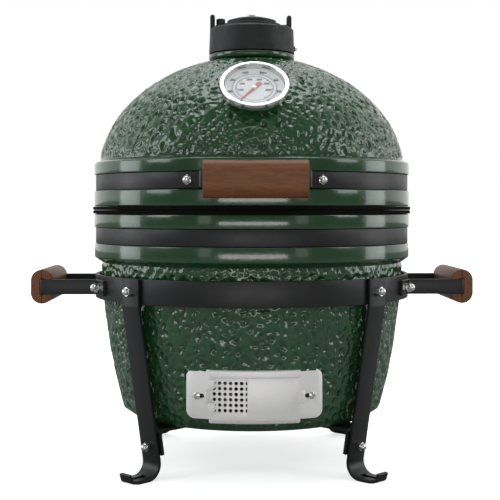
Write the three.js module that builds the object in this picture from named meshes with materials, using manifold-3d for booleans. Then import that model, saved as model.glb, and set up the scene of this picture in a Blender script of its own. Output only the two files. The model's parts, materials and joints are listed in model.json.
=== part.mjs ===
// A compact ceramic charcoal grill: a glazed bowl and a hinged dome clamped in steel bands, carried by a
// four-legged steel stand, with a cast top vent, a dial thermometer and a sliding draft door.
//
// Millimetres. +Z is up, the front faces -Y, and the origin is on the ground under the middle of the bowl.
// An azimuth is in degrees from the front, positive towards +X.

import * as THREE from "three";
import { mergeVertices } from "three/addons/utils/BufferGeometryUtils.js";
import Module from "manifold-3d";

const wasm = await Module();
wasm.setup();

// ---------- Driving dimensions ----------

const GAP = 0.3; // between two pieces that touch
const ROUND = 36; // sides of every large turned piece

// Ceramic shell
const SHELL_R = 201.3; // outside of the smooth rims
const BODY_STEP = 9.3; // the rims stand this far out of the textured bowl at its widest
const BODY_RISE = 417; // vertical half axis of the bowl's outline
const WIDEST_DOWN = 22.4; // widest part of the bowl below its rim
const BOWL_Z = 60.4; // underside of the bowl
const FOOT_FILLET = 10;
const FOOT_TAPER = 13.2; // edge of the flat foot inside the top of its fillet
const BOWL_WALL = 22;
const BOWL_FLOOR = 22;
const COLLAR_H = 60.4; // top of the textured bowl to its rim
const COLLAR_DROP = 6;
const RIM_Z = 312.4; // top of the bowl
const RIM_EDGE = 1.5;
const GASKET_T = 4.2;
const GASKET_BULGE = 1.6; // how far a gasket stands out of the rims
const DOME_STEP = 6.3; // the rims stand this far out of the dome's outline
const DOME_RISE = 153;
const DOME_WALL = 20;
const DOME_CENTRE_UP = 37.9; // the dome outline's centre above the lid's lower edge
const LID_COLLAR_H = 54; // lower edge of the lid to the top of its smooth collar
const LID_COLLAR_DROP = 5; // the slope from the collar down to the textured dome
const NECK_STEP = 6; // the neck's shoulder round the spigot
const NECK_FILLET = 8.5;
const NECK_TOP_UP = 194.8; // shoulder of the neck above the lid's lower edge
const SPIGOT_R = 49.5;
const SPIGOT_H = 21.5;
const THROAT_R = 36;

// Clamp bands
const BAND_T = 2.8;
const BAND_H = 20.4;
const GROOVE_DEPTH = 4.8;
const BASE_BAND_DOWN = 37; // lower edge of the lower groove below the bowl's rim
const DOME_BAND_UP = 19.3; // lower edge of the upper groove above the lid's lower edge

// Inside
const FIRE_BOX_FOOT_AIR = 5.5; // between the fire box's foot and the slope round the bowl's floor
const FIRE_BOX_TOP_AIR = 8; // between its top and the bowl's wall
const FIRE_BOX_WALL = 18;
const FIRE_BOX_DOWN = 82.2; // top of the fire box below the bowl's rim
const ASH_STEP = 28; // the ash hole's edge inside the fire box's foot
const LEDGE_UP = 59.3; // charcoal grate's ledge above the fire box's foot
const CHARCOAL_REST = 10; // how far the charcoal grate rests on its ledge
const CHARCOAL_GRATE_T = 8;
const CHARCOAL_AIR = 3; // round the edge of the charcoal grate
const CHARCOAL_HOLE_R = 8;
const FIRE_RING_WALL = 16;
const FIRE_RING_H = 66;
const FIRE_RING_AIR = 4; // between the fire ring and the bowl's wall
const GRATE_STEP = 3; // the cooking grate's edge inside the fire ring's
const GRATE_ROD = 6;
const GRATE_WIRE = 4;
const GRATE_PITCH = 25;

// Draft door
const DRAFT_Z = 105;
const PAD_PROUD = 4.3; // how far the frame's ceramic pad stands out of the bowl
const DRAFT_PAD_H = 56;
const DRAFT_PAD_HALF = 25; // degrees
const DRAFT_OPENING_H = 42;
const DRAFT_OPENING_HALF = 15.5; // degrees
const PORT_W = 52; // the fire box's air port
const PORT_H = 38;
const PORT_SILL = 2;
const SHEET_T = 1.5;
const SLIDER_T = 1;
const FRAME_H = 56.5;
const FRAME_UP = 2; // middle of the frame above the middle of the opening
const FRAME_HALF = 26.1; // degrees
const CHANNEL_H = 58.4;
const CHANNEL_HALF = 17; // degrees
const SLIDER_SHORT = 0.3; // degrees from the end of a channel to the end of a closed slider
const CHANNEL_TOP_LIP = 8.3;
const CHANNEL_FOOT_LIP = 5.6;
const DRAFT_SCREW_AZ = 21.6;
const DRAFT_SCREW_R = 2;
const DRAFT_SCREW_L = 16; // into the pad
const DRAFT_HEAD_R = 4.2;
const DRAFT_HEAD_H = 3;
const DRAFT_HOLE_ROWS = 6;
const DRAFT_HOLE_COLUMNS = 7;
const DRAFT_HOLE_R = 1.9;
const DRAFT_HOLE_PITCH = 6.3;
const DRAFT_TAB_OUT = 10;
const DRAFT_TAB_H = 16;
const DRAFT_TAB_IN = 0.4; // degrees from a slider's end to the middle of its tab
const DRAFT_TAB_HALF = 0.25; // degrees
const DRAFT_SLOT_SPAN = 6; // the frame's screw slots, between the centres of their ends
const DOOR_EDGE_AZ = -2.7; // the closed door's left edge
const SCREEN_EDGE_AZ = 1.2; // the closed screen's right edge, behind the door

// Stand
const RING_AIR = 4; // between the ring and the bowl's widest part
const STRAP_T = 4; // flat bar of the stand and its handles
const RING_H = 29.8;
const RING_DOWN = 14.7; // top of the ring below the bowl's collar
const LEG_W = 29;
const KNEE_DOWN = 32.3; // the legs start to lean this far below the ring's top
const KNEE_BEND = 14;
const LEG_LEAN = 9.81; // degrees
const LEG_AZIMUTHS = [-45, 45, 135, -135];
const HEEL_BEND = 24;
const TIP_BEND = 4;
const FOOT_OUT = 13; // end of a foot outside the ring
const FOOT_TIP_H = 11;
const FOOT_TIP_W = 17;
const FOOT_TAPER_L = 7;
const FOOT_END_L = 12; // the narrowed end of a foot, with its taper
const FOOT_SLOT_W = 8;
const FOOT_SLOT_TOP = 12; // top of the slot in a foot's bend
const FOOT_SLOT_END = 8; // end of the slot inside the foot's tip
const LOWER_BOLT_Z = 39;
const CROSS_W = 34;
const CROSS_TAB_Z = 29;
const CROSS_BEND = 5;

// Handles
const GRIP_W = 27;
const GRIP_H = 42;
const LID_GRIP_L = 114.7;
const LID_GRIP_REACH = 43.7; // front face of the lid's grip outside the rims
const LID_HANDLE_BOLT_AZ = 21.4;
const LID_FOOT_END_AZ = 25.6;
const SIDE_GRIP_L = 123.4;
const SIDE_GRIP_REACH = 60.5; // split plane of a side grip outside the ring
const SIDE_BOLT_AZ = 67.5;
const SIDE_FOOT_END_AZ = 62.5;
const HANDLE_STRAP_H = 18.4;
const BAR_BEND = 2.3; // a handle strap's bends at its bar

// Hinge
const HINGE_PIN_R = 4;
const HINGE_EAR_R = 14;
const HINGE_OUTER_X = 30; // middle of a lower bracket's ear
const HINGE_INNER_X = 22; // middle of an upper bracket's ear
const HINGE_EAR_T = 4;
const HINGE_PLATE_T = 4;
const HINGE_LOWER_HALF = 11; // degrees
const HINGE_UPPER_HALF = 9; // degrees
const PIN_HEAD_R = 7;
const PIN_HEAD_T = 3;
const SPRING_WIRE_R = 1.2;
const SPRING_R = 6.8;
const SPRING_TURNS = 4;

// Fasteners
const BOLT_R = 3;
const NUT_FLATS = 10;
const NUT_H = 5.5;
const NUT_DOME_R = 4.3;
const NUT_DOME_H = 4.8;
const HEAD_R = 5;
const HEAD_H = 3;

// Thermometer
const DIAL_UP = 127.3; // the dial's mounting point above the lid's lower edge
const DIAL_TILT = 44.5; // degrees that the face looks upwards
const DIAL_PROUD = 19; // face of the bezel out of the dome
const BEZEL_R = 40;
const BEZEL_H = 8;
const DIAL_WINDOW_R = 35.3;
const CASE_R = 37.3;
const CASE_DEPTH = 11;
const CASE_WALL = 2;
const NEEDLE_TIP = 26.5;
const NEEDLE_TAIL = 12.5;
const NEEDLE_ANGLE = -36; // degrees from straight down, as it shows at rest
const PROBE_R = 4;
const PROBE_L = 60;
const PROBE_COLLAR_R = 8;
const PROBE_NUT_FLATS = 17;
const PROBE_NUT_H = 5;
const PROBE_NUT_UP = 6.5; // middle of the nut inside the dome's wall
const NEEDLE_T = 0.8;
const NEEDLE_HUB_R = 3.4;
const LENS_T = 1.5;

// Top vent
const VENT_RIM = 5.3; // wall of the housing round the spigot, at its foot
const VENT_TAPER = 1.1;
const VENT_H = 33.3;
const VENT_PLATE_T = 5.4;
const VENT_CHAMFER = 2;
const VENT_HOLE_R = 31;
const VENT_EAR_IN = 4.5; // middle of the left ear inside the housing's foot
const VENT_EAR_T = 6.2;
const VENT_EAR_H = 18.3;
const VENT_EAR_HALF_W = 5;
const DISC_R = 38;
const DISC_T = 5;
const DISC_PIVOT_IN = 15.1; // the slide's pivot inside the housing's foot
const DISC_LOBE_R = 7;
const DISC_TAB_IN = 3.8; // outside of the finger tab inside the housing's foot
const DISC_TAB_H = 17.3;
const DISC_ARM_W = 12;
const PETALS = 5;
const PETAL_R = 6;
const PETAL_AT = 18;
const DAISY_R = 31.5;
const DAISY_H = 9.3;
const DAISY_EDGE = 4.5;
const DAISY_WALL = 3;
const DAISY_HUB_R = 8;
const NEAR_NUT_H = 3.4; // nut on top of the wheel
const LOW_HEAD_H = 1.6; // head let into the slide disc
const PIVOT_HEAD_H = 7.5;

// ---------- Places that follow from them ----------

// Radius of the bowl's textured outside at a height.
function bowlRadius(z) {
  return BODY_R * Math.sqrt(1 - ((BODY_WIDEST_Z - z) / BODY_RISE) ** 2);
}

const BODY_R = SHELL_R - BODY_STEP;
const DOME_R = SHELL_R - DOME_STEP;
const BODY_WIDEST_Z = RIM_Z - WIDEST_DOWN;
const COLLAR_Z = RIM_Z - COLLAR_H;
const BASE_BAND_Z = RIM_Z - BASE_BAND_DOWN;
const LID_Z = RIM_Z + 2 * GASKET_T + 3 * GAP; // lower edge of the lid
const DOME_CENTRE_Z = LID_Z + DOME_CENTRE_UP;
const DOME_BAND_Z = LID_Z + DOME_BAND_UP;
const BAND_R = SHELL_R - GROOVE_DEPTH + GAP + BAND_T; // outside of the bands
const FOOT_TOP_Z = BOWL_Z + FOOT_FILLET;
const BOWL_FOOT_R = bowlRadius(FOOT_TOP_Z) - FOOT_TAPER;
const BOWL_INSIDE_Z = BOWL_Z + BOWL_FLOOR;
const FLOOR_R = bowlRadius(BOWL_INSIDE_Z) - 1.5 * BOWL_WALL; // edge of the flat floor inside
const FIRE_BOX_FOOT_R = FLOOR_R - FIRE_BOX_FOOT_AIR;
const FIRE_BOX_TOP_R = BODY_R - BOWL_WALL - FIRE_BOX_TOP_AIR;
const ASH_R = FIRE_BOX_FOOT_R - ASH_STEP;
const CHARCOAL_GRATE_R = ASH_R + CHARCOAL_REST;
const FIRE_RING_R = BODY_R - BOWL_WALL - FIRE_RING_AIR;
const COOKING_GRATE_R = FIRE_RING_R - GRATE_STEP;
const FIRE_BOX_Z = BOWL_INSIDE_Z + GAP;
const LEDGE_Z = FIRE_BOX_Z + LEDGE_UP;
const FIRE_BOX_TOP_Z = RIM_Z - FIRE_BOX_DOWN;
const FIRE_RING_Z = FIRE_BOX_TOP_Z + GAP;
const COOKING_Z = FIRE_RING_Z + FIRE_RING_H + GAP;
const LID_GRIP_FRONT = SHELL_R + LID_GRIP_REACH;
const HINGE_Y = LID_GRIP_FRONT - HINGE_EAR_R; // the hinge reaches as far back as the grip does forward
const HINGE_Z = (RIM_Z + LID_Z) / 2;
const NECK_R = SPIGOT_R + NECK_STEP;
const NECK_Z = LID_Z + NECK_TOP_UP;
const VENT_R = SPIGOT_R + GAP + VENT_RIM;
const VENT_TOP_R = VENT_R - VENT_TAPER;
const VENT_EAR_X = VENT_R - VENT_EAR_IN;
const DISC_PIVOT_X = VENT_R - DISC_PIVOT_IN;
const DISC_TAB_X = VENT_R - DISC_TAB_IN;
const VENT_Z = NECK_Z + 1.1; // the housing stops just above the neck's shoulder
const VENT_TOP_Z = VENT_Z + VENT_H;
const DISC_Z = VENT_TOP_Z + GAP;
const DAISY_Z = DISC_Z + DISC_T + GAP;
const DRAFT_R = bowlRadius(DRAFT_Z) + PAD_PROUD;
const FRAME_R = DRAFT_R + GAP; // back of the draft frame
const SCREEN_R = FRAME_R + SHEET_T + GAP;
const DOOR_R = SCREEN_R + SLIDER_T + GAP;
const LIP_R = DOOR_R + SLIDER_T + GAP;
const FRAME_Z = DRAFT_Z + FRAME_UP - FRAME_H / 2;
const FRAME_TOP_Z = FRAME_Z + FRAME_H;
const CHANNEL_Z = DRAFT_Z - CHANNEL_H / 2 - 1;
const CHANNEL_TOP_Z = CHANNEL_Z + CHANNEL_H;
const STAND_R = BODY_R + RING_AIR + STRAP_T; // outside of the ring
const RING_TOP_Z = COLLAR_Z - RING_DOWN;
const RING_Z = RING_TOP_Z - RING_H / 2;
const PAD_R = STAND_R + GAP; // back of everything bolted to the ring
const RING_INSIDE = (STAND_R - STRAP_T) * Math.cos(Math.PI / ROUND); // middle of a facet
const RING_HEAD_R = RING_INSIDE - GAP; // where the heads of the ring's bolts bear
const RING_GRIP = PAD_R + STRAP_T + GAP - RING_HEAD_R;
const LEG_TOP_R = PAD_R + STRAP_T / 2;
const LEG_KNEE_Z = RING_TOP_Z - KNEE_DOWN;
const FOOT_TIP_R = STAND_R + FOOT_OUT;
const SIDE_GRIP_X = STAND_R + SIDE_GRIP_REACH;
const CROSS_Z = BOWL_Z - GAP - STRAP_T / 2;
const LEAN = THREE.MathUtils.degToRad(LEG_LEAN);

// ---------- Small helpers ----------

const rad = THREE.MathUtils.degToRad;
const v2 = (x, y) => new THREE.Vector2(x, y);
const domeRadius = (z, inset = 0) =>
  (DOME_R - inset) * Math.sqrt(1 - ((z - DOME_CENTRE_Z) / (DOME_RISE - inset)) ** 2);
const legMiddle = (z) => LEG_TOP_R - (LEG_KNEE_Z - z) * Math.tan(LEAN);

// `count` values from a to b, both included.
function spread(a, b, count) {
  return Array.from({ length: count }, (_, i) => a + ((b - a) * i) / (count - 1));
}

function solid(geometry) {
  const bare = geometry.clone();
  bare.deleteAttribute("normal");
  bare.deleteAttribute("uv");
  const merged = mergeVertices(bare, 1e-4);
  return new wasm.Manifold(
    new wasm.Mesh({
      numProp: 3,
      vertProperties: new Float32Array(merged.attributes.position.array),
      triVerts: new Uint32Array(merged.index.array),
    }),
  );
}

function fromSolid(body) {
  const mesh = body.getMesh();
  const geometry = new THREE.BufferGeometry();
  geometry.setAttribute("position", new THREE.BufferAttribute(new Float32Array(mesh.vertProperties), 3));
  geometry.setIndex(new THREE.BufferAttribute(new Uint32Array(mesh.triVerts), 1));
  const flat = geometry.toNonIndexed();
  flat.computeVertexNormals();
  return flat;
}

function join(first, ...others) {
  return fromSolid(others.reduce((body, other) => body.add(solid(other)), solid(first)));
}

function cut(first, ...cutters) {
  return fromSolid(cutters.reduce((body, cutter) => body.subtract(solid(cutter)), solid(first)));
}

// A profile of [radius, height] points turned round the Z axis.
function turned(points, sides = ROUND) {
  const profile = points.map(([r, z]) => v2(r, z));
  if (THREE.ShapeUtils.area(profile) < 0) profile.reverse();
  const first = profile[0];
  const last = profile[profile.length - 1];
  if (first.x > 0 || last.x > 0) profile.push(first.clone());
  return new THREE.LatheGeometry(profile, sides).rotateX(Math.PI / 2);
}

// The same with +X as the axis, for bolts that lie along a radius.
function turnedAlongX(points, sides) {
  return turned(points, sides).rotateY(Math.PI / 2);
}

// A shape made thick along Z. Each arc of its outline gets `arcSides` straight sides.
function prism(shape, height, z = 0, arcSides = 6) {
  const settings = { depth: height, bevelEnabled: false, curveSegments: arcSides / 2 };
  return new THREE.ExtrudeGeometry(shape, settings).translate(0, 0, z);
}

function block(x0, x1, y0, y1, z0, z1) {
  return new THREE.BoxGeometry(x1 - x0, y1 - y0, z1 - z0).translate(
    (x0 + x1) / 2,
    (y0 + y1) / 2,
    (z0 + z1) / 2,
  );
}

function rod(radius, length, sides = 12) {
  return new THREE.CylinderGeometry(radius, radius, length, sides).rotateX(Math.PI / 2);
}

function hexPrism(flats, height) {
  const corner = flats / Math.sqrt(3);
  return new THREE.CylinderGeometry(corner, corner, height, 6).rotateX(Math.PI / 2);
}

// A wall that follows the shell: part of a ring between two azimuths.
function sector(rIn, rOut, from, to, z0, z1, steps = 8) {
  const shape = new THREE.Shape();
  shape.absarc(0, 0, rOut, rad(from - 90), rad(to - 90), false);
  shape.absarc(0, 0, rIn, rad(to - 90), rad(from - 90), true);
  return prism(shape, z1 - z0, z0, steps);
}

// An outline of two half circles of radius r whose centres are `span` apart along x.
function stadium(span, r) {
  const shape = new THREE.Shape();
  shape.absarc(span / 2, 0, r, -Math.PI / 2, Math.PI / 2, false);
  shape.absarc(-span / 2, 0, r, Math.PI / 2, (3 * Math.PI) / 2, false);
  return shape;
}

// Replaces each inner corner of a path by an arc of its radius.
// A radius of 0 leaves its corner sharp.
function roundCorners(points, radii, steps = 3) {
  const path = [points[0]];
  for (let i = 1; i < points.length - 1; i++) {
    const corner = points[i];
    if (radii[i - 1] === 0) {
      path.push(corner);
      continue;
    }
    const back = points[i - 1].clone().sub(corner).normalize();
    const ahead = points[i + 1].clone().sub(corner).normalize();
    const half = Math.acos(THREE.MathUtils.clamp(back.dot(ahead), -1, 1)) / 2;
    const reach = radii[i - 1] / Math.tan(half);
    const inwards = back.clone().add(ahead).normalize();
    const centre = inwards.multiplyScalar(radii[i - 1] / Math.sin(half)).add(corner);
    const start = corner.clone().addScaledVector(back, reach).sub(centre);
    const end = corner.clone().addScaledVector(ahead, reach).sub(centre);
    const sweep = Math.atan2(start.cross(end), start.dot(end));
    for (const t of spread(0, 1, steps + 1)) {
      path.push(start.clone().rotateAround(v2(0, 0), sweep * t).add(centre));
    }
  }
  path.push(points[points.length - 1]);
  return path;
}

// The outline of a flat bar of the given thickness bent along a path.
function strip(path, thickness) {
  const sides = [[], []];
  path.forEach((point, i) => {
    const before = path[Math.max(i - 1, 0)];
    const after = path[Math.min(i + 1, path.length - 1)];
    const into = point === before ? after.clone().sub(point) : point.clone().sub(before);
    const out = point === after ? into.clone() : after.clone().sub(point);
    const a = into.normalize();
    const b = out.normalize();
    const mid = a.clone().add(b).normalize();
    const normal = v2(-mid.y, mid.x);
    const reach = thickness / 2 / mid.dot(b);
    sides[0].push(point.clone().addScaledVector(normal, reach));
    sides[1].push(point.clone().addScaledVector(normal, -reach));
  });
  return new THREE.Shape([...sides[0], ...sides[1].reverse()]);
}

// Turns what was built facing +X to an azimuth.
function face(geometry, azimuth) {
  return geometry.rotateZ(rad(azimuth - 90));
}

// A profile drawn as (radius, height), made `width` wide, standing along +X.
function standing(shape, width) {
  return prism(shape, width).translate(0, 0, -width / 2).rotateX(Math.PI / 2);
}

// [x, y] of `count` points evenly round a circle.
function ringOf(count, radius, start = 0) {
  return Array.from({ length: count }, (_, i) => {
    const angle = start + (2 * Math.PI * i) / count;
    return [radius * Math.cos(angle), radius * Math.sin(angle)];
  });
}

// A round cutter along +X.
function drill(radius, x0, x1, z, sides = 8) {
  return rod(radius, x1 - x0, sides).rotateY(Math.PI / 2).translate((x0 + x1) / 2, 0, z);
}

// ---------- Materials ----------

function finish(color, roughness, metalness) {
  return new THREE.MeshStandardMaterial({ color, roughness, metalness });
}

const GLAZE = finish(0x1f4a30, 0.16, 0);
const BISQUE = finish(0xb49a7c, 0.9, 0);
const FELT = finish(0x17120f, 1, 0);
const POWDER = finish(0x26272a, 0.45, 0.2);
const CAST = finish(0x26262a, 0.55, 0.4);
const STAINLESS = finish(0xd6d2cc, 0.32, 1);
const BRIGHT = finish(0xdedede, 0.12, 1);
const WOOD = finish(0x6b3f22, 0.5, 0);
const PAPER = finish(0xf2f2ee, 0.6, 0);
const CLEAR = finish(0xeef4f6, 0.03, 0);
const RED = finish(0xc2281e, 0.4, 0);

function part(parent, name, geometry, material) {
  const mesh = new THREE.Mesh(geometry, material);
  mesh.name = name;
  parent.add(mesh);
  return mesh;
}

// A group whose +X points at an azimuth.
function turnedTo(parent, azimuth) {
  const group = new THREE.Group();
  group.rotation.z = rad(azimuth - 90);
  parent.add(group);
  return group;
}

const grill = new THREE.Group();
const base = new THREE.Group();
const stand = new THREE.Group();
const lid = new THREE.Group();
grill.add(base, stand, lid);

// ---------- Ceramic bowl ----------

function bowlGeometry() {
  const outside = [
    [BOWL_FOOT_R, BOWL_Z],
    [(BOWL_FOOT_R + bowlRadius(FOOT_TOP_Z)) / 2 + FOOT_FILLET / 5, BOWL_Z + FOOT_FILLET / 4],
    ...spread(FOOT_TOP_Z, COLLAR_Z, 5).map((z) => [bowlRadius(z), z]),
  ];
  const collar = [
    [SHELL_R - COLLAR_DROP / 2, COLLAR_Z + COLLAR_DROP / 3],
    [SHELL_R - GAP, COLLAR_Z + COLLAR_DROP],
    [SHELL_R - GAP, BASE_BAND_Z],
    [SHELL_R - GROOVE_DEPTH, BASE_BAND_Z],
    [SHELL_R - GROOVE_DEPTH, BASE_BAND_Z + BAND_H],
    [SHELL_R, BASE_BAND_Z + BAND_H],
    [SHELL_R, RIM_Z - RIM_EDGE],
    [SHELL_R - RIM_EDGE, RIM_Z],
  ];
  const inside = [
    [BODY_R - BOWL_WALL, RIM_Z],
    ...spread(BODY_WIDEST_Z, BOWL_INSIDE_Z + BOWL_WALL, 4).map((z) => [bowlRadius(z) - BOWL_WALL, z]),
    [FLOOR_R, BOWL_INSIDE_Z],
  ];
  const shell = turned([[0, BOWL_Z], ...outside, ...collar, ...inside, [0, BOWL_INSIDE_Z]]);
  const padLow = DRAFT_Z - DRAFT_PAD_H / 2;
  const pad = sector(
    DRAFT_R - BOWL_WALL,
    DRAFT_R,
    -DRAFT_PAD_HALF,
    DRAFT_PAD_HALF,
    padLow,
    DRAFT_Z + DRAFT_PAD_H / 2,
  );
  const seat = sector(
    DRAFT_R,
    SHELL_R,
    -FRAME_HALF - 0.5,
    FRAME_HALF + 0.5,
    padLow,
    FRAME_TOP_Z + GAP,
  );
  const opening = sector(
    FIRE_BOX_FOOT_R - BOWL_WALL,
    SHELL_R,
    -DRAFT_OPENING_HALF,
    DRAFT_OPENING_HALF,
    BOWL_INSIDE_Z,
    DRAFT_Z + DRAFT_OPENING_H / 2,
  );
  const screwHole = () => drill(DRAFT_SCREW_R + GAP, DRAFT_R - DRAFT_SCREW_L - 2, SHELL_R, DRAFT_Z);
  return cut(
    join(shell, pad),
    seat,
    opening,
    face(screwHole(), DRAFT_SCREW_AZ),
    face(screwHole(), -DRAFT_SCREW_AZ),
  );
}

function gasketGeometry(z) {
  const outer = SHELL_R + GASKET_BULGE;
  return turned([
    [BODY_R - BOWL_WALL + 2, z],
    [outer - 1, z],
    [outer, z + GASKET_T / 2],
    [outer - 1, z + GASKET_T],
    [BODY_R - BOWL_WALL + 2, z + GASKET_T],
  ]);
}

part(base, "base_bowl", bowlGeometry(), GLAZE);
part(base, "base_gasket", gasketGeometry(RIM_Z + GAP), FELT);
part(lid, "dome_gasket", gasketGeometry(RIM_Z + GASKET_T + 2 * GAP), FELT);

// ---------- Inside the bowl ----------

function fireBoxGeometry() {
  const body = turned([
    [ASH_R, FIRE_BOX_Z],
    [FIRE_BOX_FOOT_R, FIRE_BOX_Z],
    [FIRE_BOX_TOP_R, FIRE_BOX_TOP_Z],
    [FIRE_BOX_TOP_R - FIRE_BOX_WALL, FIRE_BOX_TOP_Z],
    [CHARCOAL_GRATE_R + 2 * CHARCOAL_AIR, LEDGE_Z + CHARCOAL_GRATE_T],
    [CHARCOAL_GRATE_R + CHARCOAL_AIR, LEDGE_Z],
    [ASH_R, LEDGE_Z],
  ]);
  const portZ = FIRE_BOX_Z + PORT_SILL;
  const port = block(-PORT_W / 2, PORT_W / 2, -FIRE_BOX_TOP_R, 0, portZ, portZ + PORT_H);
  return cut(body, port);
}

function charcoalGrateGeometry() {
  const middle = LEDGE_Z + GAP + CHARCOAL_GRATE_T / 2;
  const plate = rod(CHARCOAL_GRATE_R, CHARCOAL_GRATE_T, ROUND).translate(0, 0, middle);
  const holes = [
    { at: CHARCOAL_GRATE_R * 0.32, count: 6 },
    { at: CHARCOAL_GRATE_R * 0.68, count: 12 },
  ].flatMap(({ at, count }) => ringOf(count, at).map(([x, y]) => {
    return rod(CHARCOAL_HOLE_R, 2 * CHARCOAL_GRATE_T, 6).translate(x, y, middle);
  }));
  return cut(plate, ...holes);
}

function fireRingGeometry() {
  return turned([
    [FIRE_RING_R - FIRE_RING_WALL, FIRE_RING_Z],
    [FIRE_RING_R, FIRE_RING_Z],
    [FIRE_RING_R, FIRE_RING_Z + FIRE_RING_H],
    [FIRE_RING_R - FIRE_RING_WALL, FIRE_RING_Z + FIRE_RING_H],
  ]);
}

// A ring of round bar with parallel wires across it and two stiffening wires below them.
function cookingGrateGeometry() {
  const middle = COOKING_Z + GRATE_ROD / 2;
  const rim = new THREE.TorusGeometry(COOKING_GRATE_R - GRATE_ROD / 2, GRATE_ROD / 2, 5, ROUND);
  rim.translate(0, 0, middle);
  const wires = [];
  const reach = COOKING_GRATE_R - GRATE_ROD / 2;
  const count = Math.floor(reach / GRATE_PITCH);
  for (let i = -count; i <= count; i++) {
    const x = i * GRATE_PITCH;
    const length = 2 * Math.sqrt(reach ** 2 - x ** 2);
    const wire = new THREE.CylinderGeometry(GRATE_WIRE / 2, GRATE_WIRE / 2, length, 4);
    wires.push(wire.translate(x, 0, middle + 1));
  }
  for (const y of [-reach / 2, reach / 2]) {
    const length = 2 * Math.sqrt(reach ** 2 - y ** 2);
    const brace = new THREE.CylinderGeometry(GRATE_WIRE / 2, GRATE_WIRE / 2, length, 4);
    wires.push(brace.rotateZ(Math.PI / 2).translate(0, y, middle - 1));
  }
  return join(rim, ...wires);
}

part(base, "fire_box", fireBoxGeometry(), BISQUE);
part(base, "charcoal_grate", charcoalGrateGeometry(), CAST);
part(base, "fire_ring", fireRingGeometry(), BISQUE);
part(base, "cooking_grate", cookingGrateGeometry(), STAINLESS);

// ---------- Clamp bands ----------

function bandGeometry(z, holeAzimuths) {
  const low = z + GAP;
  const high = z + BAND_H - GAP;
  const ring = turned([
    [BAND_R - BAND_T, low],
    [BAND_R, low],
    [BAND_R, high],
    [BAND_R - BAND_T, high],
  ]);
  const middle = z + BAND_H / 2;
  const drills = holeAzimuths.map((azimuth) => {
    return face(drill(BOLT_R + GAP, BAND_R - BAND_T - 1, BAND_R + 1, middle), azimuth);
  });
  return cut(ring, ...drills);
}

part(base, "base_band", bandGeometry(BASE_BAND_Z, []), POWDER);
part(lid, "dome_band", bandGeometry(DOME_BAND_Z, [-LID_HANDLE_BOLT_AZ, LID_HANDLE_BOLT_AZ]), POWDER);

// ---------- Bolts with acorn nuts ----------

// One tightened bolt and its acorn nut along +X: the head bears at 0 and the nut sits at `grip`.
function acornBoltGeometry(grip, headed = true) {
  const foot = headed ? [[0, -HEAD_H], [HEAD_R, -HEAD_H], [HEAD_R, 0], [BOLT_R, 0]] : [[0, 0], [BOLT_R, 0]];
  const nutTop = grip + NUT_H;
  const turnedPart = turnedAlongX(
    [
      ...foot,
      [BOLT_R, nutTop - 1],
      [NUT_DOME_R, nutTop - 1],
      [NUT_DOME_R, nutTop + NUT_DOME_H * 0.25],
      [NUT_DOME_R * 0.72, nutTop + NUT_DOME_H * 0.75],
      [0, nutTop + NUT_DOME_H],
    ],
    8,
  );
  const hex = hexPrism(NUT_FLATS, NUT_H).rotateY(Math.PI / 2).translate(grip + NUT_H / 2, 0, 0);
  return join(turnedPart, hex);
}

function acornBolt(parent, name, x, z, grip, { lean = 0, headed = true } = {}) {
  const bolt = part(parent, name, acornBoltGeometry(grip, headed), BRIGHT);
  bolt.position.set(x, 0, z);
  bolt.rotation.y = lean;
}

// ---------- Stand ----------

function ringGeometry() {
  const ring = turned([
    [STAND_R - STRAP_T, RING_TOP_Z - RING_H],
    [STAND_R, RING_TOP_Z - RING_H],
    [STAND_R, RING_TOP_Z],
    [STAND_R - STRAP_T, RING_TOP_Z],
  ]);
  const azimuths = [...LEG_AZIMUTHS];
  for (const side of [1, -1]) {
    azimuths.push(side * SIDE_BOLT_AZ, side * (180 - SIDE_BOLT_AZ));
  }
  const drills = azimuths.map((azimuth) => {
    return face(drill(BOLT_R + GAP, STAND_R - STRAP_T - 2, STAND_R + 2, RING_Z), azimuth);
  });
  return cut(ring, ...drills);
}

// A leg in the plane of +X and Z: upright against the ring, leaning in below it, and curled out to a foot.
function legGeometry() {
  const ground = STRAP_T / 2;
  const path = roundCorners(
    [
      v2(LEG_TOP_R, RING_TOP_Z),
      v2(LEG_TOP_R, LEG_KNEE_Z),
      v2(legMiddle(ground), ground),
      v2(FOOT_TIP_R - 1.2 * STRAP_T, ground),
      v2(FOOT_TIP_R - STRAP_T / 2, FOOT_TIP_H),
    ],
    [KNEE_BEND, HEEL_BEND, TIP_BEND],
  );
  const bar = standing(strip(path, STRAP_T), LEG_W);
  const slotEnd = FOOT_TIP_R - FOOT_SLOT_END;
  const slotStart = legMiddle(ground) + HEEL_BEND;
  const bendSlot = standingSlot(slotStart);
  const floorSlot = prism(stadium(slotEnd - slotStart, FOOT_SLOT_W / 2), 4 * STRAP_T, -STRAP_T);
  floorSlot.translate((slotStart + slotEnd) / 2, 0, 0);
  const taperStart = FOOT_TIP_R - FOOT_END_L;
  const pastTip = FOOT_TIP_R + STRAP_T;
  const corners = [1, -1].map((side) => {
    const corner = new THREE.Shape([
      v2(taperStart, side * (LEG_W / 2 + 1)),
      v2(taperStart + FOOT_TAPER_L, (side * FOOT_TIP_W) / 2),
      v2(pastTip, (side * FOOT_TIP_W) / 2),
      v2(pastTip, side * (LEG_W / 2 + 1)),
    ]);
    return prism(corner, 2 * FOOT_TIP_H, -1);
  });
  const upperHole = drill(BOLT_R + GAP, PAD_R - 2, PAD_R + STRAP_T + 2, RING_Z);
  const lowerHole = drill(BOLT_R + GAP, -STRAP_T, STRAP_T, 0);
  lowerHole.rotateY(LEAN).translate(legMiddle(LOWER_BOLT_Z), 0, LOWER_BOLT_Z);
  return cut(bar, bendSlot, floorSlot, ...corners, upperHole, lowerHole);
}

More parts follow.
